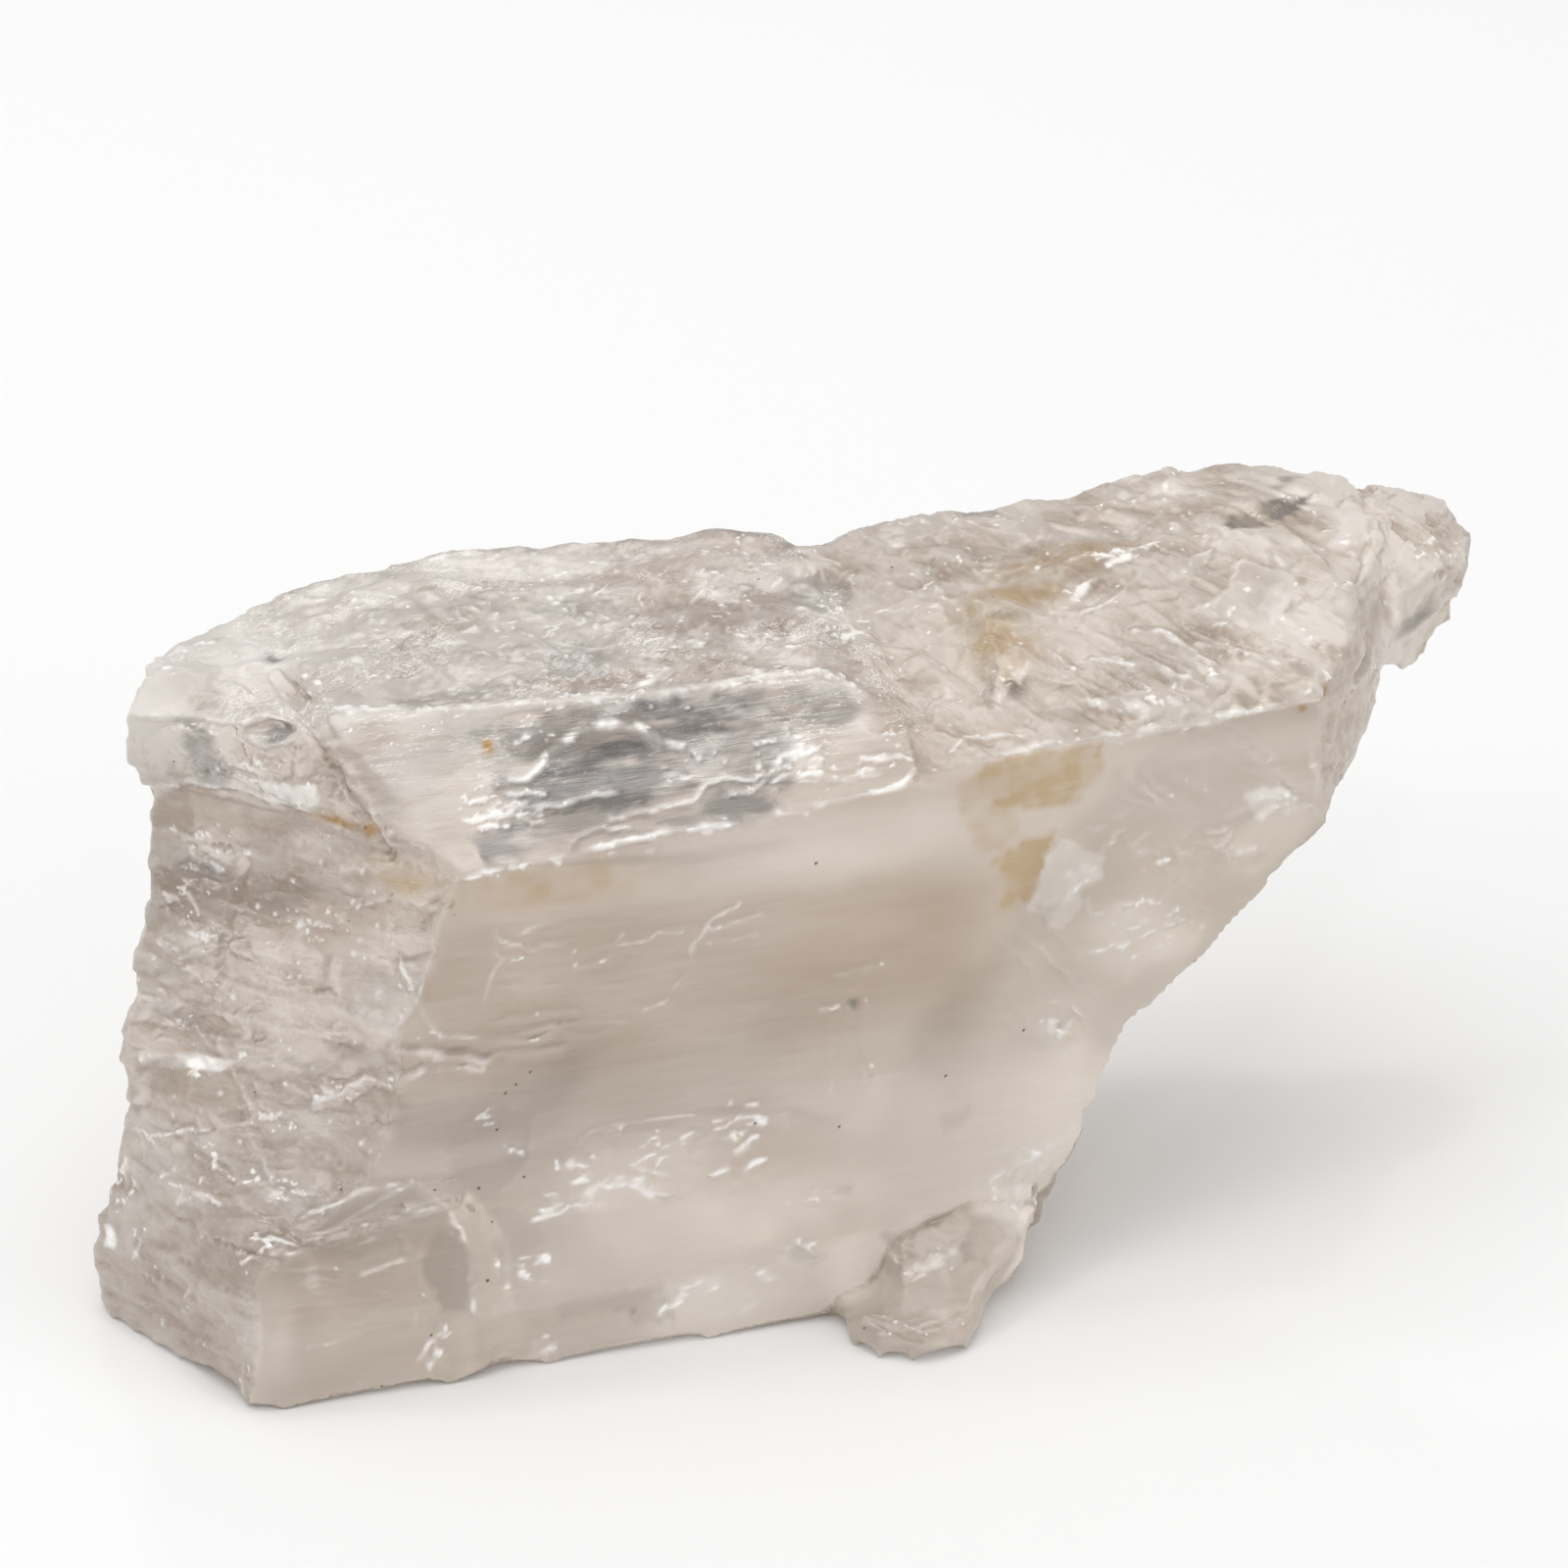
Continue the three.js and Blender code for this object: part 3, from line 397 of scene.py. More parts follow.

# flat patches, drawn from above as X and Y or from ahead as X and Z: (outline, white of frost and painted glints,
# painted dark reflection, shade)
planes = {"above": [0, 1], "ahead": [0, 2]}
patches = {
    "above": {
        "wingFacet": (((16.7, -2.0), (18.4, -1.5), (19.5, -0.1), (20.1, -0.8), (20.8, -1.3), (20.9, -2.2),
            (20.0, -2.9), (20.5, -4.1), (20.1, -4.9), (19.0, -3.8), (17.9, -2.6)), 0.5, 0, 0.5),
        "wingFacetHigh": (((16.6, -0.5), (17.8, 0.4), (18.9, 0.8), (18.5, 0.3), (17.8, -0.2), (16.9, -0.5)),
            0.6, 0, 0.5),
        "wingDark": (((19.5, 1.5), (20.2, 2.1), (21.7, 2.8), (22.2, 2.8), (23.6, 2.7), (22.5, 1.9), (21.1, 1.4),
            (19.8, 1.1)), 0, 1.1, -0.2),
        "wingDarkBack": (((22.5, 3.9), (23.4, 4.4), (23.8, 4.1), (23.1, 3.6), (22.5, 3.5)), 0, 0.7, 0),
        "wingDarkLeft": (((11.1, 6.8), (12.7, 6.6), (12.7, 5.5), (12.1, 5.8), (11.2, 6.0)), 0, 0.7, 0),
        "wingNotch": (((8.4, -3.3), (9.2, -3.4), (8.8, -4.0)), 0, 0.7, 0),
        "wingGlintHigh": (((14.6, 1.1), (15.5, 1.6), (16.3, 1.7), (17.2, 1.7), (16.4, 1.2), (15.3, 0.8),
            (14.6, 0.7)), 0.9, 0, 0.3),
        "wingGlintLow": (((12.6, -0.3), (13.4, 0.3), (14.4, 0.4), (13.6, -0.1), (12.9, -0.6)), 0.9, 0, 0.3),
        "wingGlow": (((12.8, -4.9), (14.3, -5.1), (15.0, -6.0), (13.5, -6.1), (11.8, -4.9), (11.4, -4.5)),
            0.6, 0, 0.5),
        "wingLeafA": (((9.7, -2.2), (10.6, -1.7), (10.7, -2.3)), 0.5, 0, 0.4),
        "wingLeafB": (((9.3, -3.4), (10.3, -2.9), (10.4, -3.1), (9.5, -3.6)), 0.5, 0, 0.4),
        "knobWhite": (((23.1, 0.1), (24.1, 1.4), (25.1, 1.5), (24.5, -0.1), (23.5, -0.3)), 0.5, 0, 0.4),
        "slabRound": (((4.4, 6.0), (5.9, 5.7), (6.3, 4.2), (5.8, 3.1), (4.7, 3.4), (4.0, 4.8)), 0, 0.55, 0),
        "slabGrey": (((-5.1, 4.1), (-4.0, 4.0), (-3.6, 2.4), (-4.3, 0.4), (-5.4, 0.2), (-6.0, 1.2)), 0, 0.5, 0),
        "slabGreyBack": (((-4.9, 7.6), (-3.2, 7.4), (-2.3, 6.0), (-3.4, 5.2), (-5.0, 6.0)), 0, 0.45, 0),
        "slabWhite": (((4.6, 4.5), (5.0, 3.6), (5.6, 2.7), (5.4, 1.6), (4.8, 1.3), (4.1, 1.8), (4.5, 3.7)),
            0.5, 0, 0.4),
        "slabFlake": (((-0.6, 1.9), (-0.2, 1.9), (-0.1, 1.5), (-0.6, 1.2), (-0.9, 1.5)), 1.0, 0, 0.4),
        "slabDark": (((-11.6, 1.3), (-9.1, 1.7), (-7.1, 1.2), (-6.2, 0.7), (-7.3, -0.2), (-9.4, 0.1),
            (-11.5, 0.5)), 0, 0.4, 0),
    },
    "ahead": {
        "bevelDark": (((-8.5, 20.2), (-8.2, 20.5), (-6.6, 21.1), (-5.4, 21.4), (-4.1, 21.3), (-2.9, 20.8),
            (-2.2, 20.3), (-2.6, 19.8), (-4.7, 19.6), (-6.4, 19.6), (-8.5, 19.7)), 0, 1.0, 0),
        "bevelTop": (((-4.2, 22.2), (-2.0, 22.4), (0, 22.2), (0.3, 21.5), (-0.4, 21.1), (-2.3, 21.3),
            (-3.6, 21.7)), 0, 1.0, 0),
        "bevelRight": (((-2.4, 20.2), (-0.5, 20.0), (0.2, 19.4), (-1.5, 19.1), (-3.2, 19.3)), 0, 0.85, 0),
        "bevelEnd": (((1.2, 22.1), (3.2, 22.0), (3.8, 21.6), (3.3, 21.2), (2.0, 21.4), (1.2, 21.7)), 0, 0.6, 0),
        "bevelLow": (((-10.6, 19.2), (-9.0, 19.5), (-7.5, 19.5), (-8.3, 18.8), (-10.0, 18.7)), 0, 0.8, 0),
        "bevelVeil": (((-9.6, 21.9), (-6.0, 22.2), (-2.0, 22.3), (0.6, 22.2), (1.4, 21.4), (0.4, 19.6),
            (-3.0, 19.0), (-9.0, 18.9)), 0, 0.65, 0),
        "bevelFlakes": (((0, 20.9), (1.0, 21.3), (1.7, 21.2), (1.9, 20.8), (1.6, 20.3), (-0.1, 20.3)),
            0.35, 0, 0.4),
        "lumpDark": (((-18.5, 22.0), (-17.7, 22.0), (-17.6, 21.0), (-17.3, 19.3), (-18.1, 19.2), (-18.6, 20.8)),
            0, 0.6, 0),
        "lumpWhite": (((-16.6, 20.0), (-15.0, 20.4), (-15.0, 19.5), (-16.4, 19.4)), 0.7, 0, 0.3),
        # lumpShade is painted shadow under the lump's overhang
        "lumpShade": (((-20.4, 17.6), (-19.2, 18.3), (-18.6, 18.9), (-17.5, 19.2), (-15.4, 19.1), (-14.2, 18.9),
            (-15.4, 17.9), (-17.5, 17.4), (-19.4, 16.9)), 0, 0, -0.6),
        "bandShade": (((-21.6, 9.9), (-20.5, 10.5), (-18.4, 10.8), (-18.0, 11.4), (-19.7, 11.5), (-21.0, 11.0)),
            0, 0, -0.4),
        "columnDark": (((-18.9, 15.9), (-18.0, 16.2), (-17.4, 15.9), (-18.0, 15.5), (-18.8, 15.5)), 0, 0.55, 0),
        "leftDark": (((-20.2, 11.3), (-19.2, 11.5), (-18.8, 11.0), (-19.6, 10.8), (-20.3, 11.0)), 0, 0.45, 0),
        "leftBand": (((-21.1, 9.7), (-19.7, 10.2), (-18.2, 10.3), (-18.9, 9.9), (-20.4, 9.7), (-21.1, 9.3)),
            1.3, 0, 0.5),
        "leftFacet": (((-17.2, 14.8), (-14.8, 16.5), (-13.3, 16.3), (-13.4, 14.2), (-15.4, 13.3), (-17.3, 13.3)),
            0.31, 0, -0.15),
        "leftPanel": (((-22.6, 5.4), (-21.8, 6.0), (-21.8, 4.2), (-22.8, 4.0)), 1.2, 0, 0.5),
        "leftPanelLow": (((-23.2, 3.8), (-22.3, 4.0), (-22.2, 2.8), (-23.3, 2.4)), 1.1, 0, 0.5),
        "blockDark": (((-13.5, 5.9), (-12.7, 5.8), (-12.2, 5.1), (-12.0, 3.8), (-12.2, 2.5), (-13.2, 2.6),
            (-13.5, 3.8)), 0, 0.55, 0),
        "blockUpper": (((-18.6, 6.4), (-17.8, 7.0), (-13.5, 7.3), (-12.8, 6.4), (-12.7, 5.8), (-15.5, 5.3),
            (-17.4, 5.6), (-19.1, 5.5)), 0, 0.32, 0),
        "blockWedge": (((-17.8, 5.2), (-17.5, 5.5), (-17.0, 4.2), (-17.3, 4.1), (-17.8, 4.6)), 0.3, 0, 0.2),
        "frontGrey": (((-12.4, 9.3), (-10.2, 10.0), (-9.2, 9.3), (-9.6, 7.6), (-10.9, 6.4), (-12.2, 6.6)),
            0, 0.3, 0),
        "frontGreyLow": (((-11.4, 6.2), (-9.7, 6.0), (-9.2, 4.6), (-10.2, 4.2), (-11.2, 4.6)), 0, 0.2, 0),
        "flakeA": (((-8.6, 7.3), (-8.0, 7.5), (-7.4, 7.3), (-7.0, 7.1), (-7.8, 7.1), (-8.4, 7.0)), 0.8, 0, 0.2),
        "flakeB": (((-7.0, 6.6), (-6.5, 6.6), (-5.9, 6.3), (-5.1, 5.8), (-5.3, 5.6), (-6.3, 6.1), (-6.8, 6.3)),
            0.9, 0, 0.2),
        "flakeC": (((-7.8, 6.1), (-7.5, 6.4), (-7.1, 6.4), (-6.9, 6.2), (-6.4, 5.7), (-6.5, 5.4), (-6.9, 5.5),
            (-7.5, 5.7)), 0.7, 0, 0.2),
        "flakeD": (((-9.2, 6.5), (-8.6, 6.2), (-8.6, 5.9), (-9.1, 6.2)), 0.6, 0, 0.2),
        "flakeE": (((-9.1, 5.9), (-8.1, 5.4), (-8.1, 5.2), (-9.0, 5.6)), 0.5, 0, 0.2),
        "flakeGrey": (((1.1, 4.8), (1.4, 5.1), (1.8, 5.0), (1.7, 4.6)), 0, 0.45, 0),
        "flakeLow": (((-10.0, 0.3), (-9.8, 1.0), (-9.5, 1.1), (-9.3, 0.8), (-9.4, 0.6), (-9.1, 0.3), (-9.9, 0.1)),
            0.6, 0, 0.3),
        "bandDark": (((-9.1, 2.3), (-6.5, 2.5), (-5.2, 2.4), (-4.9, 1.9), (-4.9, 0.7), (-6.2, 1.1), (-6.6, 1.7),
            (-8.9, 1.7)), 0, 0.3, 0),
        "bandSpot": (((-6.5, 1.7), (-6.1, 1.7), (-6.2, 1.4), (-6.4, 1.4)), 0, 0.7, 0),
        "glowWide": (((-5.0, 2.3), (-3.4, 2.5), (-2.0, 2.4), (-0.8, 2.0), (-1.0, 1.2), (-2.4, 0.7), (-3.5, 0.7),
            (-4.8, 1.3)), 0.5, 0, 0.4),
        "glowA": (((-5.0, 2.2), (-4.3, 2.3), (-4.1, 2.0), (-4.7, 1.8)), 0.9, 0, 0.5),
        "glowB": (((-3.5, 2.1), (-2.8, 2.3), (-2.2, 1.8), (-2.4, 1.4), (-3.2, 1.6)), 0.9, 0, 0.6),
        "glowC": (((-3.4, 0.9), (-2.3, 1.1), (-2.2, 0.8), (-3.3, 0.6)), 0.4, 0, 0.4),
        "lens": (((-0.7, 2.9), (0, 3.0), (0.6, 2.6), (0.3, 2.2), (-0.6, 2.5)), 0, 0.3, 0),
        "flakeHigh": (((10.1, 16.8), (10.8, 16.3), (11.4, 15.9), (11.3, 15.0), (10.6, 14.8), (10.6, 14.2),
            (9.9, 13.5), (9.2, 13.9), (8.7, 14.3), (9.0, 15.0), (9.3, 15.9), (9.8, 16.4)), 0.55, 0, 0.5),
        "flakeTip": (((9.0, 14.3), (9.6, 14.3), (9.4, 13.6), (9.1, 13.7)), 0, 0.7, 0),
        "flakeSmall": (((8.9, 10.3), (9.5, 10.1), (10.2, 9.8), (10.0, 9.5), (9.4, 9.2), (8.9, 9.5)), 0.8, 0, 0.4),
        "flakeSmallTip": (((9.5, 9.9), (9.9, 9.9), (9.8, 9.5), (9.5, 9.5)), 0, 0.7, 0),
        "glintRound": (((-9.4, 3.9), (-9.3, 4.1), (-9.1, 4.1), (-9.0, 3.9), (-9.1, 3.7), (-9.3, 3.7)), 1.5, 0, 0.5),
        "patchRight": (((16.7, 17.5), (17.5, 17.6), (18.2, 17.5), (18.7, 17.2), (18.7, 16.5), (17.8, 16.7),
            (17.3, 16.4), (16.8, 17.1)), 0.65, 0, 0.4),
        "patchRightDark": (((17.9, 17.6), (18.5, 17.5), (18.4, 17.2), (18.0, 17.3)), 0, 0.6, 0),
        "greySquareA": (((5.3, 7.2), (6.2, 7.2), (6.2, 6.4), (5.4, 6.4)), 0, 0.2, -0.1),
        "rampGrey": (((3.0, 2.9), (3.8, 3.0), (3.5, 2.3), (3.1, 2.0), (2.8, 1.9)), 0, 0.4, 0),
        "rampWhite": (((3.9, 3.1), (4.5, 3.3), (4.9, 2.8), (4.0, 2.6), (3.7, 2.4)), 0.35, 0, 0.4),
        "rampSquare": (((4.5, 3.4), (5.8, 3.7), (5.4, 2.5), (5.1, 2.6)), 0, 0.42, -0.1),
        "rampBar": (((3.8, 2.4), (4.4, 2.7), (5.1, 2.8), (5.1, 2.4), (4.0, 2.2), (3.0, 1.9), (3.0, 2.0)),
            0.6, 0, 0.4),
        "toeGrey": (((1.0, 0.9), (1.9, 1.1), (1.6, 0.5), (1.0, 0.2)), 0, 0.3, 0),
        "corner": (((6.8, 4.1), (8.2, 4.8), (10.0, 5.9), (9.6, 4.4), (8.6, 3.3), (7.4, 2.6), (6.9, 2.9)),
            0.3, 0, 0.3),
    },
}

# yellow-brown stains on the front cleavage: (outline as X and Z, strength)
stains = {
    "upper": (((8.6, 20.1), (11.5, 19.9), (11.5, 18.8), (10.7, 18.6), (10.5, 18.1), (9.1, 18.0), (8.0, 18.3),
        (7.2, 18.3), (7.2, 19.5), (8.1, 19.9)), 0.95),
    "join": (((7.2, 19.5), (8.1, 18.3), (8.2, 17.1), (7.4, 16.6), (6.7, 17.6), (6.4, 19.2)), 0.5),
    "lower": (((8.3, 17.1), (9.8, 17.0), (9.5, 16.2), (9.0, 15.3), (8.4, 14.3), (7.9, 14.4), (7.8, 16.3)), 1.1),
}

# patterns in space: (size along x, y and z in mm, seed, octaves)
patterns = {
    "steps": ((7, 7, 4.5), 3, 3), "smallSteps": ((2.6, 2.6, 1.3), 41, 3), "swell": ((3, 3, 3), 9, 4),
    "frontRipple": ((5, 5, 0.5), 21, 1), "frontWave": ((9, 9, 6), 22, 1),
    "bevelRipple": ((4, 4, 0.4), 23, 1), "bevelWave": ((3, 3, 3), 24, 1),
    "gaps": (0.7, 61, 2), "gathered": ((2.6, 2.6, 1.8), 141, 2), "silverGaps": ((1.6, 1.6, 0.3), 81, 3),
    "tanGaps": (0.7, 91, 3), "felt": ((0.5, 0.35, 0.35), 101, 3), "feltGaps": ((5, 3, 3), 105, 2),
    "cloud": ((4, 4, 3), 111, 3), "frontCloud": ((3, 3, 0.8), 121, 3), "topCloud": ((1.6, 1, 1), 161, 2),
    "hairGaps": ((1.8, 1.8, 1), 151, 2),
}

# heights of the relief in mm: (part of the surface, shape, height)
reliefLook = (
    ("broken", "steps", 0.22), ("broken", "smallSteps", 0.08), ("broken", "splinters", 0.12),
    ("broken", "chips", 0.04), ("broken", "even", -0.08), ("top", "swell", 0.05), ("top", "chipFaces", 0.04),
    ("wing", "ribs", 0.38), ("wing", "chipFaces", 0.1), ("left", "sideSplinters", 0.28), ("left", "chips", 0.03),
    ("knob", "chipLevels", 0.12), ("front", "frontRipple", 0.01), ("front", "frontWave", 0.02),
    ("bevel", "bevelRipple", 0.015), ("bevel", "bevelWave", 0.03), ("even", "raised", 0.22), ("even", "pits", -0.14),
)

# how much of each finish the parts of the surface carry
surfaceLook = {
    "milk": {"even": 0.1, "top": 0.13, "wing": 0.2, "left": 0.17, "bevel": 0.1, "knob": 0.14, "hidden": 0.08,
             "foot": 0.16, "paler": 0.15, "lump": 0.12, "lowLeft": 0.05, "bevelLeft": 0.08, "leftTop": 0.15,
             "wingEnd": 0.06, "wingSide": 0.22, "frontRight": 0.12, "frontLow": 0.1, "frontFoot": 0.08},
    # in shade, crest is a painted highlight along the crest
    "shade": {"top": 0.16, "topLeft": 0.25, "topRight": -0.16, "wing": 0.14, "knob": 0.3, "foot": 0.25,
              "paler": 0.3, "lump": 0.35, "lowLeft": 0.1, "bevelLeft": 0.25, "leftMiddle": 0.25, "crest": 0.35,
              "bottomLeft": -0.35, "blockFront": -0.28},
    # frontShade is painted light and shade on the front cleavage: darker in the middle, lighter at the bottom, at
    # the glow and to the right
    "frontShade": {"even": 0.6, "frontDeep": -0.58, "frontPale": 0.5, "frontGlow": 0.3, "rightLow": 0.35,
                   "leftLow": 0.25, "bottom": 0.3},
    "contrast": {"even": 1.6, "front": -1.1, "frontRise": -0.2, "foot": -0.8, "bevelLeft": -0.3, "left": -0.45,
                 "top": 0.4, "wing": 0.4, "hidden": -0.5},
    "hair": {"even": 0.04, "hidden": 0.6, "top": 0.75, "bevel": 0.25, "wing": 0.32, "left": 0.32},
}

# places of painted glints, each with its reach along x, y and z
glints = (
    ((0.6, -4.2, 20.6), (1.2, 0.7, 0.6)), ((1.2, -3.6, 21.1), (0.5, 0.4, 0.3)), ((4.6, -4.4, 20.7), (0.5, 0.5, 0.3)),
    ((2.2, -5.0, 20.0), (2.4, 0.5, 0.3)), ((-9.6, -2.7, 20.2), (1.2, 0.6, 0.6)),
    ((-9.0, -3.5, 19.6), (1.2, 0.5, 0.4)), ((-7.7, -1.8, 21.4), (0.6, 0.5, 0.4)),
    ((-14.2, 3.0, 22.1), (0.7, 1.8, 0.5)), ((-12.9, 0.9, 22.4), (0.9, 0.6, 0.4)),
    ((-18.2, 6.2, 22.0), (1.2, 0.9, 0.5)), ((-16.9, 1.2, 20.6), (1.0, 1.2, 0.4)),
    ((-16.8, 1.2, 19.9), (0.7, 0.7, 0.3)), ((5.0, 1.4, 22.0), (1.4, 1.1, 0.6)), ((27.3, 0.2, 21.8), (1.2, 1.2, 0.8)),
    ((15.8, 1.3, 23.2), (1.5, 0.4, 0.3)), ((13.6, -0.1, 22.7), (1.0, 0.4, 0.3)),
    ((13.8, -5.3, 20.9), (1.4, 0.7, 0.4)), ((8.9, -4.6, 20.8), (0.6, 0.6, 0.5)), ((8.5, 3.2, 22.3), (0.8, 0.5, 0.4)),
    ((10.1, 3.4, 22.7), (0.5, 0.4, 0.3)), ((18.0, -2.7, 21.8), (0.5, 0.2, 0.3)),
    ((16.3, -4.9, 21.4), (0.4, 0.4, 0.3)), ((18.8, 0.6, 22.9), (0.3, 0.3, 0.3)),
    ((20.1, -5.9, 21.0), (0.3, 0.4, 0.3)), ((22.6, -2.1, 22.1), (0.5, 0.6, 0.6)),
    ((23.1, -3.7, 19.4), (0.3, 0.5, 0.8)), ((11.9, 5.6, 22.9), (0.3, 0.3, 0.2)),
    ((-17.9, 3.2, 17.1), (1.0, 1.0, 0.25)), ((-18.9, 3.2, 15.1), (0.4, 0.5, 0.2)),
    ((-18.9, 2.7, 14.3), (0.3, 0.4, 0.2)), ((-18.6, 1.7, 13.7), (0.6, 0.5, 0.25)),
    ((-18.7, 1.0, 12.6), (0.6, 0.6, 0.25)), ((-18.3, 0.2, 12.3), (0.5, 0.5, 0.25)),
    ((-15.3, -0.5, 14.9), (0.9, 0.9, 0.4)), ((-14.6, -1.2, 15.4), (0.8, 0.8, 0.3)),
    ((-14.1, -2.5, 14.4), (0.3, 0.3, 0.3)), ((-13.3, -4.7, 13.7), (0.3, 0.6, 0.8)),
    ((-12.4, -5.2, 12.8), (0.6, 0.4, 0.3)), ((-15.4, -3.4, 10.0), (0.8, 0.6, 0.3)),
    ((-14.7, -3.8, 10.4), (0.5, 0.5, 0.3)), ((-17.3, -2.5, 8.7), (0.8, 0.8, 0.25)),
    ((-19.7, -2.1, 7.5), (0.4, 0.7, 0.5)), ((-18.5, -3.0, 7.3), (0.3, 0.5, 0.5)),
    ((-18.1, -3.7, 6.9), (0.4, 0.4, 0.2)), ((-18.8, -5.4, 5.6), (0.8, 0.5, 0.3)),
    ((-22.2, 1.3, 4.2), (0.4, 0.8, 1.2)), ((-10.1, -7.1, 3.6), (0.7, 0.4, 0.45)),
    ((-9.2, -7.1, 3.9), (0.2, 0.3, 0.18)), ((-9.5, -7.7, 0.6), (0.4, 0.4, 0.4)),
    ((-4.6, -7.9, 2.1), (0.4, 0.3, 0.2)), ((-2.8, -8.1, 1.8), (1.2, 0.4, 0.6)),
    ((-0.1, -8.1, 2.7), (0.6, 0.3, 0.25)), ((0.5, -7.8, 4.8), (0.7, 0.4, 0.35)),
    ((-3.5, -7.4, 5.4), (0.3, 0.3, 0.12)), ((-1.8, -7.1, 8.1), (1.1, 0.5, 0.5)),
    ((-5.3, -6.9, 7.3), (1.2, 0.5, 0.6)), ((-6.4, -6.9, 6.2), (1.2, 0.5, 0.5)), ((-8.6, -6.8, 5.8), (0.4, 0.4, 0.5)),
    ((-7.9, -6.6, 7.3), (0.9, 0.4, 0.2)), ((-10.1, -6.2, 8.1), (0.4, 0.4, 0.4)),
    ((-10.9, -5.9, 9.4), (0.3, 0.3, 0.5)), ((-13.0, -7.5, 1.6), (0.4, 0.3, 0.8)),
    ((8.8, -8.4, 5.2), (1.2, 0.5, 0.5)), ((7.8, -9.0, 3.9), (1.2, 0.8, 0.8)), ((13.3, -7.4, 13.3), (1.7, 0.5, 0.9)),
    ((10.6, -7.5, 12.7), (0.4, 0.3, 0.3)), ((11.2, -7.5, 12.5), (0.5, 0.3, 0.3)),
    ((12.3, -7.6, 12.4), (0.6, 0.3, 0.3)), ((13.8, -7.6, 12.4), (0.4, 0.3, 0.3)),
    ((13.5, -7.2, 15.6), (0.5, 0.3, 0.4)), ((15.9, -7.4, 15.6), (0.5, 0.3, 0.4)),
    ((18.3, -7.4, 16.9), (0.8, 0.4, 0.5)), ((-0.5, 1.6, 22.3), (0.9, 0.9, 0.3)), ((2.8, 0.5, 22.2), (1.0, 0.8, 0.3)),
    ((-5.0, -0.7, 22.4), (2.0, 0.5, 0.3)),
)

# places of softening and colour, each with its reach along x, y and z
spots = {
    "smoothed": (((5.2, -8.6, 3.5), (2.8, 1.1, 1.1)), ((3.0, -9.2, 1.8), (0.7, 1.4, 1.6)),
        ((-12.0, -7.2, 3.6), (1.4, 1.0, 3.3)), ((9.6, -2.0, 22.2), (2.2, 2.6, 1.2)),
        ((6.4, -5.0, 20.3), (2.0, 1.2, 1.4)), ((13.5, -1.5, 22.4), (5.0, 2.4, 0.9)),
        ((5.3, -3.8, 20.8), (1.0, 1.6, 1.0)), ((1.6, -9.0, 0.7), (1.2, 0.8, 0.8)),
        ((-19.8, -6.1, 3.6), (0.8, 0.8, 2.8)), ((3.8, -8.5, 2.9), (2.2, 1.0, 0.8)),
        ((2.7, -8.5, 1.8), (0.8, 0.9, 1.2)), ((25.0, -1.8, 18.3), (1.0, 1.6, 0.9)),
        ((9.2, 1.9, 22.5), (0.6, 1.5, 0.6))),
    # painted dark reflections; at the two pits painted shade
    "silver": (((-1.2, -2.6, 21.6), (2.2, 1.0, 0.6)), ((-15.6, 1.7, 21.4), (0.5, 0.5, 0.5)),
        ((9.3, -3.4, 21.5), (0.5, 1.4, 0.5)), ((26.3, -0.9, 19.4), (1.4, 1.0, 0.5)),
        ((2.3, -6.6, 11.7), (0.25, 0.3, 0.22)), ((-14.6, 5.9, 21.9), (0.4, 0.4, 0.4))),
    "rust": (((-13.5, -1.9, 19.2), (0.35, 0.35, 0.3)), ((-14.5, -0.9, 19.2), (1.1, 0.9, 0.25)),
        ((-9.1, -1.5, 21.5), (0.2, 0.3, 0.35)), ((20.0, -6.4, 20.6), (0.3, 0.35, 0.3)),
        ((18.9, -6.9, 20.4), (0.16, 0.16, 0.14))),
    "tan": (((-12.8, -3.0, 17.8), (1.5, 1.5, 0.6)), ((-8.1, -4.9, 17.6), (3.6, 1.2, 0.8)),
        ((9.6, -1.6, 22.0), (1.3, 1.6, 1.2)), ((10.8, 0.4, 22.6), (2.6, 0.7, 0.8)),
        ((13.5, 1.8, 23.0), (3.0, 0.8, 0.8))),
    "paler": (((-6.0, -7.0, 6.3), (3.4, 1.0, 1.4)), ((-3.6, -8.2, 1.2), (2.6, 1.0, 1.3)),
        ((-14.5, 6.5, 22.0), (2.6, 2.6, 0.8)), ((-4.0, -7.6, 4.6), (6.5, 1.2, 1.5)),
        ((1.7, -8.8, 1.5), (1.0, 1.3, 1.3)), ((-14.0, -4.0, 12.8), (1.9, 1.8, 1.4)),
        ((-19.6, 4.2, 20.8), (1.6, 2.2, 1.4)), ((21.7, -2.8, 21.8), (1.1, 2.2, 1.2)),
        ((-19.0, -6.3, 2.6), (0.8, 1.0, 3.2)), ((12.5, -7.5, 13.0), (2.0, 0.8, 1.6))),
    "raised": (((-7.7, -1.6, 21.6), (0.75, 0.6, 0.6)),),
    "pits": (((2.3, -6.6, 11.7), (0.28, 0.4, 0.28)), ((-14.6, 5.9, 21.9), (0.5, 0.5, 0.5))),
    "frontPale": (((3.0, -6.0, 17.8), (5.5, 2.0, 1.5)), ((5.0, -7.8, 7.0), (5.5, 2.0, 2.6))),
    "frontGlow": (((-6.5, -6.9, 6.6), (3.0, 1.0, 1.3)), ((-3.0, -7.9, 1.8), (2.3, 1.0, 0.8))),
}
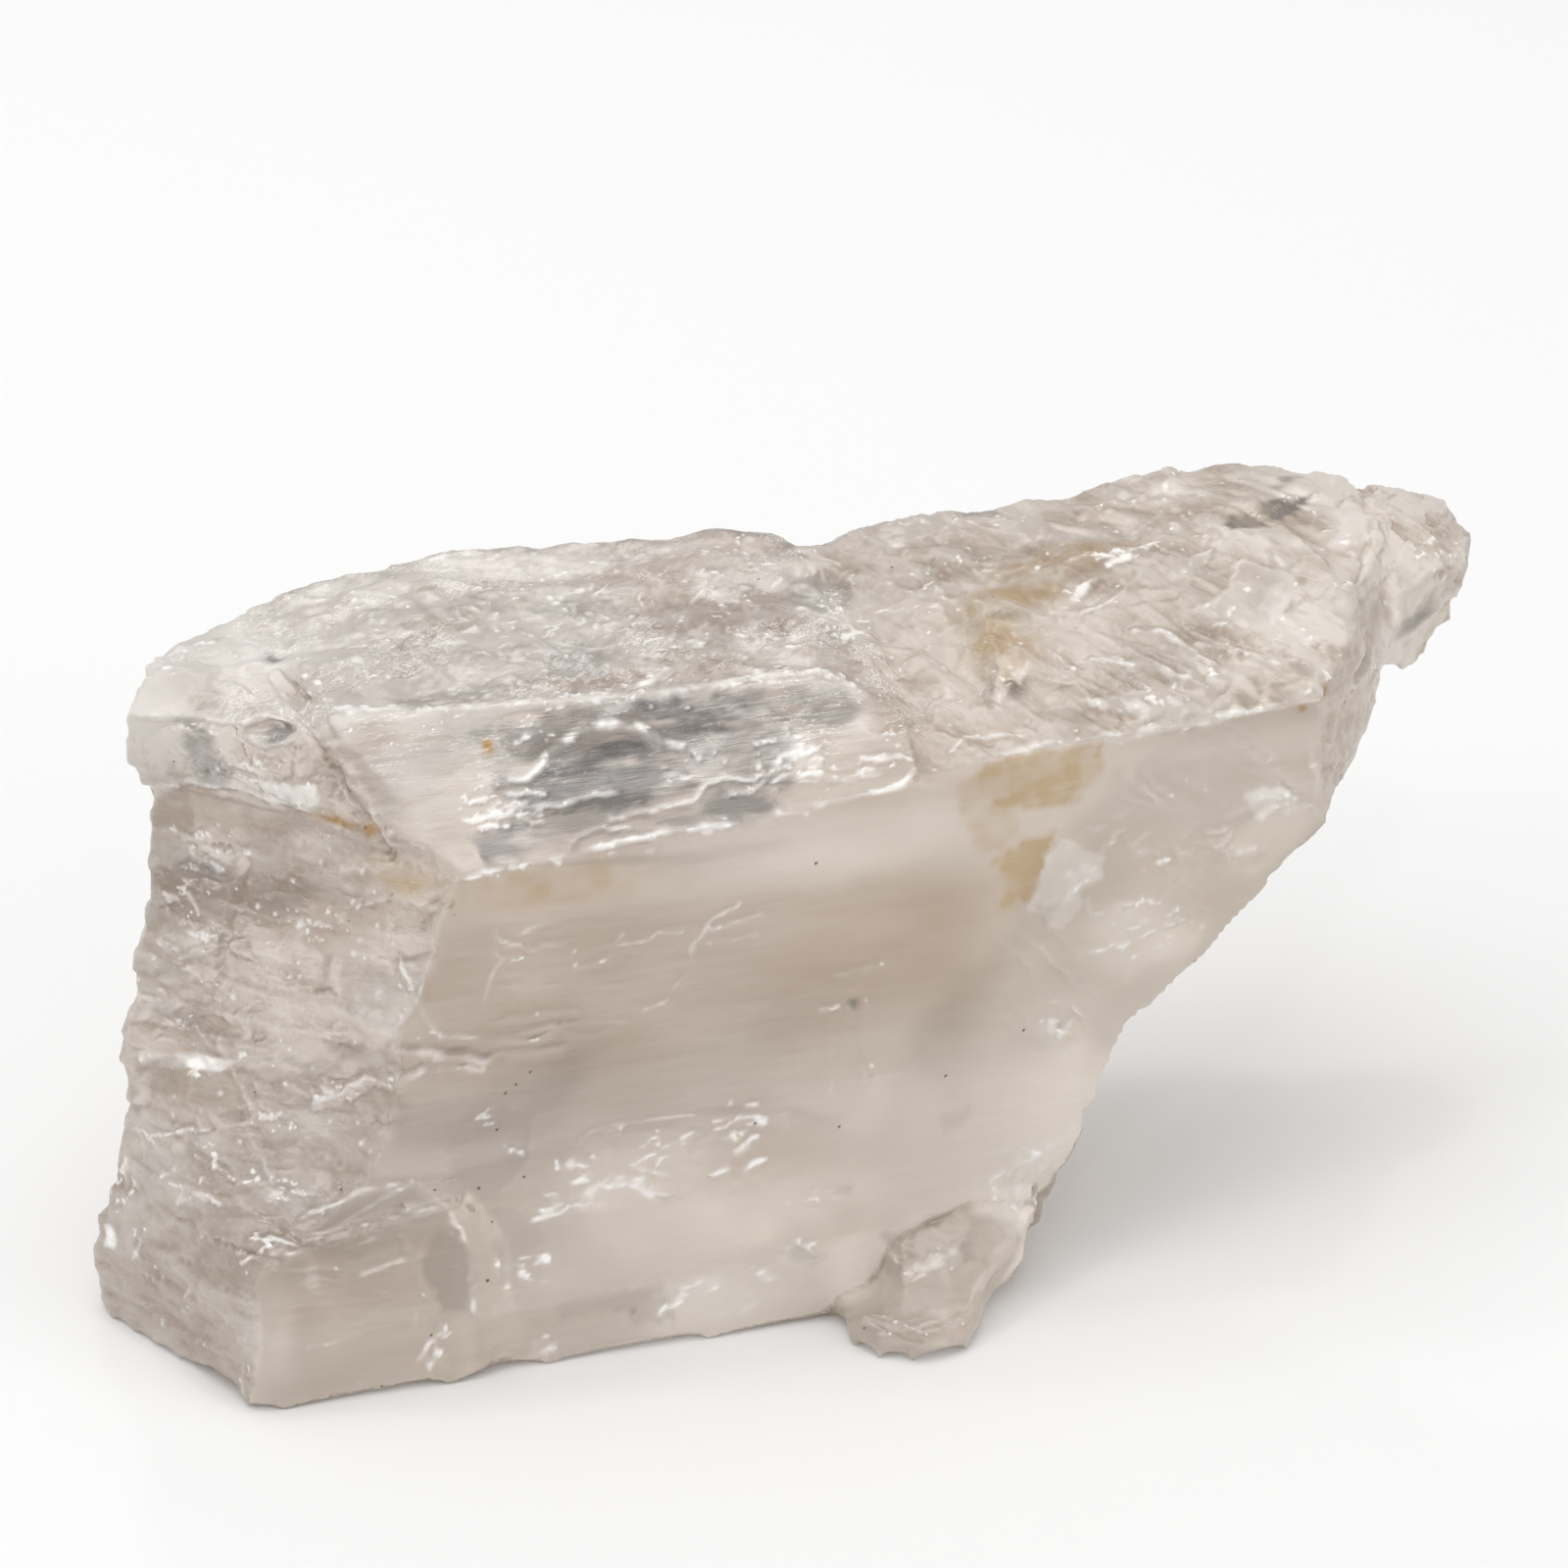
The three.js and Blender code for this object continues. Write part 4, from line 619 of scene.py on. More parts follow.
# dark specks
specks = (
    (3.5, 6.2, 21.8), (-20.8, 3.4, 11.9), (1.6, -7.4, 7.2), (1.3, -5.8, 17.1), (-14.3, -1.5, 15.5),
    (8.4, -7.6, 9.8), (5.5, -7.6, 8.6), (-16.0, -5.4, 7.3), (-1.5, -7.1, 7.9), (-9.2, -5.9, 10.9),
    (-9.8, -5.9, 10.5), (-10.1, -5.9, 10.2), (-13.6, -1.9, 19.3), (-18.6, 4.0, 20.0), (7.9, 4.4, 22.3),
    (-12.9, -6.3, 7.1), (-17.7, -1.0, 9.1), (-13.6, -7.3, 2.0), (-11.4, -6.4, 6.9), (-9.7, -6.6, 7.1),
    (-11.0, -6.7, 5.6), (-11.4, -7.0, 3.7), (-10.5, -6.1, 9.0), (-15.4, -7.6, 0.3), (-20.0, 1.9, 13.6),
    (-11.4, -4.4, 16.9), (1.2, -10.8, 0.9), (11.6, 2.9, 22.9), (21.2, -5.4, 19.4), (12.9, 2.8, 23.1),
)

# hairlines strewn in one place: (count, middle, reach, heading, turn, length, width, lift, white); the spark, flake
# and glow strews are painted glints
strews = {
    "lamina": (12, (-8.3, -5.6, 13.5), (2.2, 0, 2.4), (1, -0.09, 0.02), (0, 0, 0.02), 3.8, 0.09, 0.03, 0.28),
    "upright": (9, (1.2, -6.9, 9.8), (2.0, 0, 1.4), (0.03, 0, 1), (0.03, 0, 0), 2.8, 0.09, 0.03, 0.25),
    "feather": (14, (9.4, -7.5, 11.0), (1.6, 0, 2.0), (0.8, -0.1, -0.75), (0.2, 0, 0.3), 2.4, 0.09, 0.04, 0.4),
    "stripe": (9, (15.5, -6.8, 18.6), (3.0, 0.3, 1.0), (0.8, -0.1, -0.7), (0.1, 0, 0.1), 2.8, 0.12, 0.06, 0.35),
    "scratch": (46, (-3.5, 4.4, 22.1), (7.5, 3.9, 0.1), (0.75, 0.45, 0), (0.9, 0.9, 0), 1.7, 0.09, 0.03, 0.6),
    "lumpLine": (12, (-17.3, 2.8, 21.0), (1.6, 2.0, 0.9), (0.5, -0.6, -0.5), (0.2, 0.2, 0.2), 1.8, 0.08, 0.05, 0.5),
    "wingLine": (20, (14.8, -3.4, 21.8), (4.8, 1.8, 0.5), bodyLook["wingGrain"], (0.12, 0.12, 0.08),
        2.2, 0.1, 0.1, 0.7),
    "sideLine": (12, (15.5, -7.2, 15.4), (3.0, 0.3, 2.2), (0.8, -0.1, -0.6), (0.2, 0, 0.4), 2.0, 0.08, 0.05, 0.4),
    "leftLine": (26, (-16.8, -0.6, 11.5), (2.6, 2.5, 5.0), bodyLook["leftGrain"], (0.1, 0.1, 0.25),
        2.0, 0.09, 0.06, 0.4),
    "columnLine": (16, (-19.0, 2.8, 14.6), (1.2, 1.6, 2.4), (0.5, -0.8, -0.05), (0.15, 0.1, 0.15),
        1.1, 0.1, 0.08, 1.0),
    "blockLine": (16, (-15.8, -7.0, 3.6), (2.6, 0.2, 2.8), (1, -0.25, 0), (0, 0, 0.15), 1.8, 0.09, 0.03, 0.6),
    "sparkBlock": (14, (-13.6, -7.3, 1.6), (0.6, 0, 1.2), (0.2, -0.1, 1), (0.4, 0, 0.4), 0.35, 0.1, 0.02, 1.3),
    "flake": (34, (-5.4, -6.9, 6.6), (4.0, 0, 1.3), (1, -0.09, 0.1), (0.3, 0, 0.6), 0.6, 0.11, 0.05, 1.3),
    "glow": (22, (-3.5, -7.9, 1.8), (2.0, 0, 0.5), (1, -0.09, 0.3), (0.3, 0, 0.7), 0.5, 0.11, 0.05, 1.3),
    "sparkRight": (20, (1.0, -4.4, 20.6), (1.2, 0.4, 0.6), (1, -0.1, 0.2), (0.3, 0.2, 0.5), 0.6, 0.11, 0.05, 1.3),
    "sparkLeft": (20, (-9.0, -3.3, 19.9), (1.4, 0.5, 0.6), (1, -0.1, 0.1), (0.3, 0.2, 0.4), 0.6, 0.1, 0.05, 1.3),
    "spray": (10, (2.6, -5.0, 20.0), (1.8, 0.3, 0.2), (1, -0.1, 0), (0.1, 0.1, 0.1), 0.9, 0.09, 0.04, 1.2),
    "fleck": (70, (-1.5, 3.4, 22.1), (6.5, 3.8, 0.1), (0.6, 0.4, 0), (1, 1, 0), 0.5, 0.1, 0.05, 0.95),
    "flakeLine": (12, (10.2, -7.0, 15.2), (1.0, 0, 1.3), (-0.3, -0.1, 1), (0.5, 0, 0.2), 0.9, 0.1, 0.05, 0.8),
    "rightLine": (16, (14.5, -7.3, 15.6), (3.4, 0.2, 2.2), (0.8, -0.1, 0.2), (0.4, 0, 0.8), 0.9, 0.09, 0.05, 0.8),
    "sparkLow": (18, (-10.2, -7.1, 3.6), (0.9, 0, 0.6), (1, -0.09, 0.4), (0.3, 0, 0.8), 0.25, 0.11, 0.01, 1.5),
    "sparkToe": (8, (-9.6, -7.7, 0.7), (0.4, 0, 0.4), (1, -0.09, 0.6), (0.4, 0, 0.8), 0.35, 0.1, 0.05, 1.3),
    "chalk": (14, (-21.5, -1.0, 4.6), (1.0, 3.0, 2.4), (0.3, -0.5, 0.6), (0.3, 0.3, 0.5), 1.0, 0.13, 0.05, 0.9),
    "toeLine": (8, (3.4, -11.6, 1.0), (1.8, 0.4, 0.5), (0.8, -0.2, 0.1), (0.2, 0.2, 0.3), 0.8, 0.09, 0.03, 0.4),
    "cornerLine": (16, (8.3, -8.9, 3.9), (0.9, 0.3, 1.0), (-0.5, -0.3, -0.8), (0.25, 0.1, 0.2),
        1.6, 0.09, 0.06, 0.7),
}

chance = np.random.default_rng(2411)


def strew(name, count, start, spread, heading, turn, length, width, lift, white):
    # near-parallel hairlines in one place
    for k in range(count):
        at = np.array(start) + chance.uniform(-1, 1, 3) * spread
        go = np.array(heading) + chance.uniform(-1, 1, 3) * turn
        go = go / np.linalg.norm(go) * length * chance.uniform(0.5, 1)
        bow = chance.uniform(-0.12, 0.12, 3) * length * (1, 0, 1)
        marks[f"{name}{k}"] = ((at - go / 2, at + bow, at + go / 2), width, lift, white * chance.uniform(0.6, 1))


for name, values in strews.items():
    strew(name, *values)

stone = bpy.data.objects.new("petalite_crystal", cadNode.data.copy())
bpy.context.scene.collection.objects.link(stone)
editMesh(stone, bpy.ops.mesh.remove_doubles, threshold=bodyLook["weld"])
stone.data.materials.clear()
applyModifier(stone, "REMESH", mode="VOXEL", voxel_size=bodyLook["grain"] * mm, adaptivity=0)
turned = readVectors(stone.data.polygons, "normal") @ bodyLook["seenFrom"] > bodyLook["seenTurn"]
editMesh(stone, bpy.ops.mesh.subdivide, turned, number_cuts=1, smoothness=0)
middles = readVectors(stone.data.polygons, "center") / mm - drawingShift
outward = readVectors(stone.data.polygons, "normal")
fineSpots = (middles[:, 2] > bodyLook["fineHeight"]) & (outward[:, 2] > bodyLook["fineTurn"])
fineSpots |= spotMask(middles, glints) > 0.25
fineSpots |= spotMask(middles, [(place, (0.3, 0.3, 0.3)) for place in specks]) > 0.3
for line, width, *_ in marks.values():
    reach = 0.12 + 1.3 * width
    fineSpots |= lineDistance(middles, onSurface(stone, line), reach) < reach
for plane, outlines in patches.items():
    for outline, *_ in outlines.values():
        inside = patchMask(middles, outline, planes[plane], 0.4)
        fineSpots |= (inside > 0.1) & (inside < 0.9) & (outward[:, 1] < -0.3)
fineSpots &= outward @ bodyLook["seenFrom"] > bodyLook["seenTurn"]
editMesh(stone, bpy.ops.mesh.subdivide, fineSpots, number_cuts=1, smoothness=0)
editMesh(stone, bpy.ops.mesh.quads_convert_to_tris, quad_method="BEAUTY", ngon_method="BEAUTY")
applyModifier(stone, "SHRINKWRAP", target=cadNode, wrap_method="NEAREST_SURFACEPOINT")
print("body meshed:", len(stone.data.polygons), "triangles")


def zonesOf(points, normals):
    x, y, z = points.T
    away = frontY(x, z) - y
    look = bodyLook
    zones = {
        "front": ease(-np.abs(away), -0.9, -0.6) * ease(normals @ look["frontOut"], 0.7, 0.85),
        "bevel": ease(normals @ look["bevelOut"], 0.8, 0.92) * ease(x, -14.5, -13.7)
                 * ease(-x, -5.4, -4.9) * ease(z, 18.0, 18.5),
        "top": ease(normals[:, 2], 0.6, 0.85) * ease(z, 20, 21) * ease(-x, -6.5, -5),
        "wing": ease(x, 4.5, 6) * ease(z, 18.5, 20.5) * ease(normals @ look["wingOut"], 0.5, 0.75),
        "left": ease(-x, 8, 11) * ease(normals @ look["leftOut"], 0.35, 0.6) * ease(-z, -19.5, -18)
                * ease(-normals @ look["frontOut"], -0.93, -0.86),
        "knob": ease(x, 22.5, 24.5),
    }
    zones["flat"] = np.clip(zones["front"] + zones["bevel"], 0, 1)
    zones["crisp"] = np.maximum(lineMask(points, look["ridge"], 0.6), lineMask(points, look["crest"], 0.5))
    return zones


def smoothBy(weights, passes):
    group = stone.vertex_groups.new(name="soft")
    for index, weight in enumerate(weights):
        if weight > 0.02:
            group.add([index], float(weight), "REPLACE")
    applyModifier(stone, "SMOOTH", factor=0.5, iterations=passes, vertex_group="soft")
    stone.vertex_groups.clear()


points = readPoints(stone)
zones = zonesOf(points, readVectors(stone.data.vertices, "normal"))
smoothBy((1 - zones["crisp"]) * (1 - 0.3 * zones["bevel"]), bodyLook["roundingPasses"])
smoothBy(spotMask(readPoints(stone), spots["smoothed"]), bodyLook["spotPasses"])
print("body softened")

points = readPoints(stone)
normals = readVectors(stone.data.vertices, "normal")
zones = zonesOf(points, normals)
x, y, z = points.T
seen = ease(normals @ bodyLook["seenFrom"], 0.0, 0.2)
base = ease(z, 0.15, 1.2)
foot = ease(frontY(x, z) - y, 0.15, 0.6) * ease(x, 0.4, 1.0) * ease(-x, -9.2, -7.6) * ease(-z, -4.6, -3.8)
broken = np.clip(1 - zones["flat"] - 0.7 * zones["top"] - 0.6 * zones["wing"], 0, 1) * (1 - 0.6 * zones["crisp"])
broken *= 1 - 0.85 * zones["left"]

tilts, level = chips(points, (2.2, 2.2, 1.4), 5)[:2]
smallTilts, smallLevel, smallSeam = chips(points, (0.8, 0.8, 0.5), 31)
ribTilts, ribLevel, ribSeam = chips(grainwise(points, bodyLook["wingGrain"], (7.0, 1.8, 1.8)), 1, 51)
sideTilts, sideLevel, sideSeam = chips(grainwise(points, bodyLook["leftGrain"], (3.6, 1.3, 1.0)), 1, 57)
shapes = {name: layered(points, *patterns[name])
          for name in ("swell", "frontRipple", "frontWave", "bevelRipple", "bevelWave")}
shapes.update({
    "even": 1, "raised": spotMask(points, spots["raised"]), "pits": spotMask(points, spots["pits"]),
    "steps": terraces(layered(points, *patterns["steps"]), 3, 0.2),
    "smallSteps": terraces(layered(points, *patterns["smallSteps"]), 3, 0.25),
    "splinters": tilts, "chips": smallTilts, "chipFaces": smallTilts * ease(smallSeam, 0, 0.2),
    "chipLevels": smallLevel - 0.5,
    "ribs": ribTilts * ease(ribSeam, 0, 0.25), "sideSplinters": sideTilts * ease(sideSeam, 0, 0.2),
})
zones.update({"even": np.ones(len(points)), "hidden": 1 - seen, "broken": broken, "foot": foot})
relief = sum(height * zones[zone] * shapes[shape] for zone, shape, height in reliefLook)
relief *= base * (1 - 0.8 * foot)

frost, silver = np.zeros(len(points)), np.zeros(len(points))
tone = 0.5 * zones["wing"] * (ribLevel - 0.5) + 0.4 * zones["left"] * (sideLevel - 0.5)
tone += 0.5 * zones["knob"] * (smallLevel - 0.5) + 0.35 * broken * (level - 0.5)
breakUp = ease(layered(points, *patterns["gaps"]), -0.5, 0.4)
calm = np.zeros(len(points))
sway = np.stack([0.11 * noise(points, 0.9, s) + 0.07 * noise(points, 0.3, s + 4) for s in (71, 72, 73)], 1)
sway -= normals * (sway * normals).sum(1)[:, None]
for line, width, lift, white in marks.values():
    mark = crestMask(points + sway * min(1, width / 0.15), onSurface(stone, line), width) * seen
    relief += lift * mark
    frost = np.maximum(frost, white * mark * (0.35 + 0.65 * breakUp))
facings = {"above": ease(normals[:, 2], 0.3, 0.5), "ahead": ease(-normals[:, 1], 0.2, 0.4)}
for plane, outlines in patches.items():
    for outline, white, grey, pale in outlines.values():
        wander, soft = (1.2, 0.08) if white else (2.0, 0.18)
        patch = patchMask(points + wander * sway, outline, planes[plane], soft) * facings[plane] * seen
        frost = np.maximum(frost, white * patch * (0.25 + 0.75 * breakUp))
        silver = np.maximum(silver, grey * patch)
        tone += pale * patch
        calm = np.maximum(calm, patch * (pale >= 0.5))
        relief *= 1 - 0.8 * patch * (white > 0.3)

# painted glints: white spots in the frost-and-highlight colour standing in for sparkles of light
sparkle = np.maximum(spotMask(points, glints), 0.6 * frost)
# painted glints along the crest and the ridge
onEdges = 0.7 * lineMask(points, bodyLook["crest"], 0.5) + 0.4 * lineMask(points, bodyLook["ridge"], 0.3)
sparkle = np.maximum(sparkle, onEdges)
gathered = ease(layered(points, *patterns["gathered"]), -0.3, 0.7)
sparkle = np.maximum(sparkle, gathered * (0.24 * zones["top"] + 0.12 * zones["wing"] + 0.16 * zones["left"]))
dashes = noise(grainwise(points, bodyLook["frontGrain"], (0.30, 0.26, 0.13)), 1, 131)
draw = chance.random((2, len(points)))
paintedGlint = ((dashes > 0.84 - 0.54 * sparkle) | (draw[0] < 0.015 * sparkle)) * (sparkle > 0.04) * seen
paintedGlint = paintedGlint * (0.45 + 0.55 * draw[1])
relief += 0.04 * paintedGlint
frost = np.maximum(frost, paintedGlint)

points = points + normals * relief[:, None]
low = np.array(cadBounds[0]) / mm - drawingShift
high = np.array(cadBounds[1]) / mm - drawingShift
writePoints(stone, np.clip(points, low, high))
useObject(stone)
bpy.ops.object.shade_smooth_by_angle(angle=math.radians(bodyLook["smoothAngle"]))
# edges: how far each point stands out; it paints highlights on convex edges and shade in creases
edges = bulge(stone, readPoints(stone), readVectors(stone.data.vertices, "normal"))
edges *= 1 - 0.8 * zones["front"]
speck = np.zeros(len(points))
for place in specks:
    speck[np.argmin(((points - place) ** 2).sum(1))] = 1

silver = np.maximum(silver, spotMask(points, spots["silver"]))
silver *= 1 - 0.75 * (1 - ease(layered(points, *patterns["silverGaps"]), -1.0, -0.1)) * ease(z, 17, 18)
rust = spotMask(points, spots["rust"])
tan = spotMask(points, spots["tan"])
for outline, strength in stains.values():
    tan = np.maximum(tan, strength * patchMask(points + 2.5 * sway, outline, planes["ahead"], 0.16) * zones["front"])
tan *= 0.45 + 0.55 * ease(layered(points, *patterns["tanGaps"]), -0.7, 0.5)
yellowed = zones["front"] * np.maximum(ease(x, -2, 4), ease(-z, -9, -6)) + ease(x, 8, 12) * ease(-z, -20, -19)
tan += 0.17 * np.clip(yellowed + foot + 0.7 * zones["wing"] + 0.8 * ease(x, 4, 8), 0, 1)
tan += 0.10 * zones["front"] * ease(x, 2, 6) * ease(-z, -17, -15)
felt = ease(layered(points, *patterns["felt"]), 0.0, 1.0) * ease(layered(points, *patterns["feltGaps"]), -0.7, 0.5)
frost = np.maximum(frost, zones["top"] * (0.06 + 0.55 * felt))
frost = np.maximum(frost, 0.25 * felt * zones["hidden"])
# painted highlight along the crest
frost = np.maximum(frost, 0.6 * lineMask(points, bodyLook["crest"], 0.35) * (0.4 + 0.6 * breakUp))
# painted highlight on convex edges
frost = np.maximum(frost, 0.45 * ease(edges, 0.14, 0.40) * (0.2 + 0.8 * breakUp))
frost *= 1 - 0.8 * rust
zones.update({
    "paler": spotMask(points, spots["paler"]),
    "lump": ease(-x, 13.5, 15) * ease(z, 17.5, 19),
    "lowLeft": ease(-x, 19.5, 21) * ease(-z, -9, -7),
    "bevelLeft": zones["bevel"] * ease(-x, 7, 9),
    "leftTop": ease(-x, 17, 19) * ease(z, 15, 17),
    "topLeft": zones["top"] * ease(-x, 3, 8),
    "topRight": zones["top"] * ease(x, -4, 0),
    "leftMiddle": zones["left"] * ease(x, -15, -13) * ease(-z, -15, -13),
    "wingEnd": zones["wing"] * ease(x, 17, 20),
    "wingSide": ease(x, 4, 10) * ease(-z, -20.5, -19.5),
    "blockFront": ease(-x, 12, 13) * ease(x, -20, -19) * ease(-z, -7, -5.5),
    "bottomLeft": zones["front"] * ease(-z, -2.4, -2.0) * ease(-x, 4.5, 6) * ease(x, -12.4, -11.8),
    "frontRight": zones["front"] * ease(x, 1, 5) * (1 + ease(-z, -10, -7)),
    "frontRise": zones["front"] * ease(x, -3, 5),
    "frontLow": zones["front"] * ease(-z, -9.5, -8),
    "frontFoot": zones["front"] * ease(-z, -4.5, -2.5),
    "frontPale": spotMask(points, spots["frontPale"]),
    "frontGlow": spotMask(points, spots["frontGlow"]),
    "frontDeep": ease(z, 9, 12) * ease(-x, -9, -5) * ease(-z, -17.8, -15.0),
    "rightLow": ease(x, 1, 5) * ease(-z, -14, -10),
    "leftLow": ease(-z, -8, -5) * ease(x, -12, -9),
    "bottom": ease(-z, -4, -2),
    "crest": lineMask(points, bodyLook["crest"], 0.6),
})


def amountOf(name):
    return sum(amount * zones[zone] for zone, amount in surfaceLook[name].items())


milk, contrast = amountOf("milk"), amountOf("contrast") * (1 - 0.7 * calm)
hair = amountOf("hair") * ease(layered(points, *patterns["hairGaps"]), -0.6, 0.6) * (1 - calm)
# painted light and shade on the front cleavage
paintedFrontShading = amountOf("frontShade") + 0.15 * layered(points, *patterns["frontCloud"])
shade = 0.5 + 0.35 * layered(points, *patterns["cloud"])
shade += (paintedFrontShading - shade) * 0.85 * zones["front"]
shade += 0.5 * (zones["top"] + zones["wing"]) * layered(points, *patterns["topCloud"])
# edges add painted highlight on convex edges and painted shade in creases
shade += tone + amountOf("shade") + 1.2 * np.clip(edges, -0.25, 0.25)

# the grain each part of the surface was broken along, for the fine streaks
grain = grainwise(points, bodyLook["frontGrain"], (0.7, 0.6, 0.5))
for zone, along, size in (
        ("left", bodyLook["leftGrain"], (1.0, 0.5, 0.4)), ("top", (0.8, 0.6, 0), (0.6, 0.32, 0.32)),
        ("wing", bodyLook["wingGrain"], (2.0, 0.45, 0.45)), ("front", bodyLook["frontGrain"], (2.6, 0.8, 0.22)),
        ("bevel", bodyLook["frontGrain"], (2.8, 0.34, 0.24))):
    grain = np.where(zones[zone][:, None] > 0.5, grainwise(points, along, size), grain)

finishes = {"frost": frost, "silver": silver, "rust": rust, "tan": tan, "shade": shade, "speck": speck, "milk": milk,
            "contrast": contrast, "hair": hair, "front": zones["front"], "top": zones["top"]}
for name, values in finishes.items():
    attribute = stone.data.attributes.new(name, "FLOAT", "POINT")
    attribute.data.foreach_set("value", np.clip(values, 0, 2.0).astype(np.float32))
attribute = stone.data.attributes.new("grain", "FLOAT_VECTOR", "POINT")
attribute.data.foreach_set("vector", grain.astype(np.float32).ravel())
print("surface marked")


class Wire:
    tree = None

    def __init__(self, socket):
        self.socket = socket

    @classmethod
    def make(cls, kind, settings=None, sockets=None, out=0):
        node = cls.tree.nodes.new(kind)
        for name, value in (settings or {}).items():
            setattr(node, name, value)
        for name, value in (sockets or {}).items():
            if isinstance(value, Wire):
                cls.tree.links.new(value.socket, node.inputs[name])
            else:
                node.inputs[name].default_value = value
        return cls(node.outputs[out])

    def maths(self, operation, first, second):
        return Wire.make("ShaderNodeMath", {"operation": operation}, {0: first, 1: second})

    def __add__(self, other): return self.maths("ADD", self, other)
    def __radd__(self, other): return self.maths("ADD", other, self)
    def __sub__(self, other): return self.maths("SUBTRACT", self, other)
    def __rsub__(self, other): return self.maths("SUBTRACT", other, self)
    def __mul__(self, other): return self.maths("MULTIPLY", self, other)
    def __rmul__(self, other): return self.maths("MULTIPLY", other, self)


def startMaterial(name):
    material = bpy.data.materials.new(name)
    material.use_nodes = True
    material.node_tree.nodes.clear()
    Wire.tree = material.node_tree
    return material


def endMaterial(material, surface, volume=None):
    output = material.node_tree.nodes.new("ShaderNodeOutputMaterial")
    material.node_tree.links.new(surface.socket, output.inputs["Surface"])
    if volume:
        material.node_tree.links.new(volume.socket, output.inputs["Volume"])


def tint(mask, below, above):
    return Wire.make("ShaderNodeMix", {"data_type": "RGBA"}, {0: mask, 6: below, 7: above}, out=2)


def mask(name):
    return Wire.make("ShaderNodeAttribute", {"attribute_name": name}, out=2)


def ramp(value, low, high):
    return Wire.make("ShaderNodeMapRange", {"interpolation_type": "SMOOTHSTEP"}, {0: value, 1: low, 2: high})


crystalLook = {
    "pale": (0.97, 0.92, 0.87, 1),
    "warm": (0.57, 0.48, 0.41, 1),
    "silver": (0.22, 0.21, 0.205, 1),
    "tan": (0.62, 0.46, 0.27, 1),
    "rust": (0.50, 0.27, 0.06, 1),
    "speck": (0.02, 0.015, 0.01, 1),
    # white of frost and of the painted glints and edge highlights
    "frost": (0.96, 0.94, 0.91, 1),
    "transmission": 0.82,
    "ior": 1.505,
    "absorbed": (0.87, 0.785, 0.70, 1),
    "density": 45.0,
    "roughness": 0.10,
    "frontRoughness": 0.18,
    "topRoughness": 0.06,
    "streakRoughness": 0.10,
    "frostRoughness": 0.35,
    "metallic": 0.55,
    "bump": 0.6,
    "bumpHeight": 0.00007,
    "hairEdge": (0.022, 0.004),
}

petalite = startMaterial("petalite")
look = crystalLook
grainPlace = Wire.make("ShaderNodeAttribute", {"attribute_name": "grain"}, out=1)
streaks = Wire.make("ShaderNodeTexNoise", {}, {"Vector": grainPlace, "Scale": 1.0, "Detail": 4.0, "Roughness": 0.7})
flat = mask("front")
colour = tint(mask("shade") + mask("contrast") * (streaks - 0.5), look["warm"], look["pale"])
# painted dark reflection, with a metallic sheen
dark = mask("silver") * ramp(streaks, 0.22, 0.44)
colour = tint(dark, colour, look["silver"])
colour = tint(mask("tan") * (0.6 + 0.4 * ramp(streaks, 0.2, 0.6)), colour, look["tan"])
colour = tint(mask("rust"), colour, look["rust"])
colour = tint(ramp(mask("speck"), 0.4, 0.9), colour, look["speck"])
roughness = look["roughness"] + look["frontRoughness"] * flat + look["topRoughness"] * mask("top")
roughness = roughness + look["streakRoughness"] * streaks
bump = Wire.make("ShaderNodeBump", {}, {
    "Strength": look["bump"], "Distance": look["bumpHeight"], "Height": streaks * (1 - 0.7 * flat)})
crystal = Wire.make("ShaderNodeBsdfPrincipled", {}, {
    "Base Color": colour, "Roughness": roughness, "Metallic": look["metallic"] * dark,
    "IOR": look["ior"], "Transmission Weight": look["transmission"], "Normal": bump})
middleOff = Wire.make("ShaderNodeMath", {"operation": "ABSOLUTE"}, {0: streaks - 0.5})
hairlines = mask("hair") * ramp(middleOff, *look["hairEdge"])
# white of frost, hairlines and painted highlights
white = hairlines.maths("MAXIMUM", mask("frost") * ramp(streaks, 0.1, 0.5), hairlines)
frosted = Wire.make("ShaderNodeBsdfPrincipled", {}, {
    "Base Color": tint(white, colour, look["frost"]), "Roughness": look["frostRoughness"], "IOR": look["ior"]})
cover = white.maths("MAXIMUM", white, mask("milk"))
surface = Wire.make("ShaderNodeMixShader", {}, {0: cover, 1: crystal, 2: frosted})
inside = Wire.make("ShaderNodeVolumeAbsorption", {}, {"Color": look["absorbed"], "Density": look["density"]})
endMaterial(petalite, surface, inside)
stone.data.materials.append(petalite)

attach(stone, "root")
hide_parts("petalite_stone")
print("stone finished")

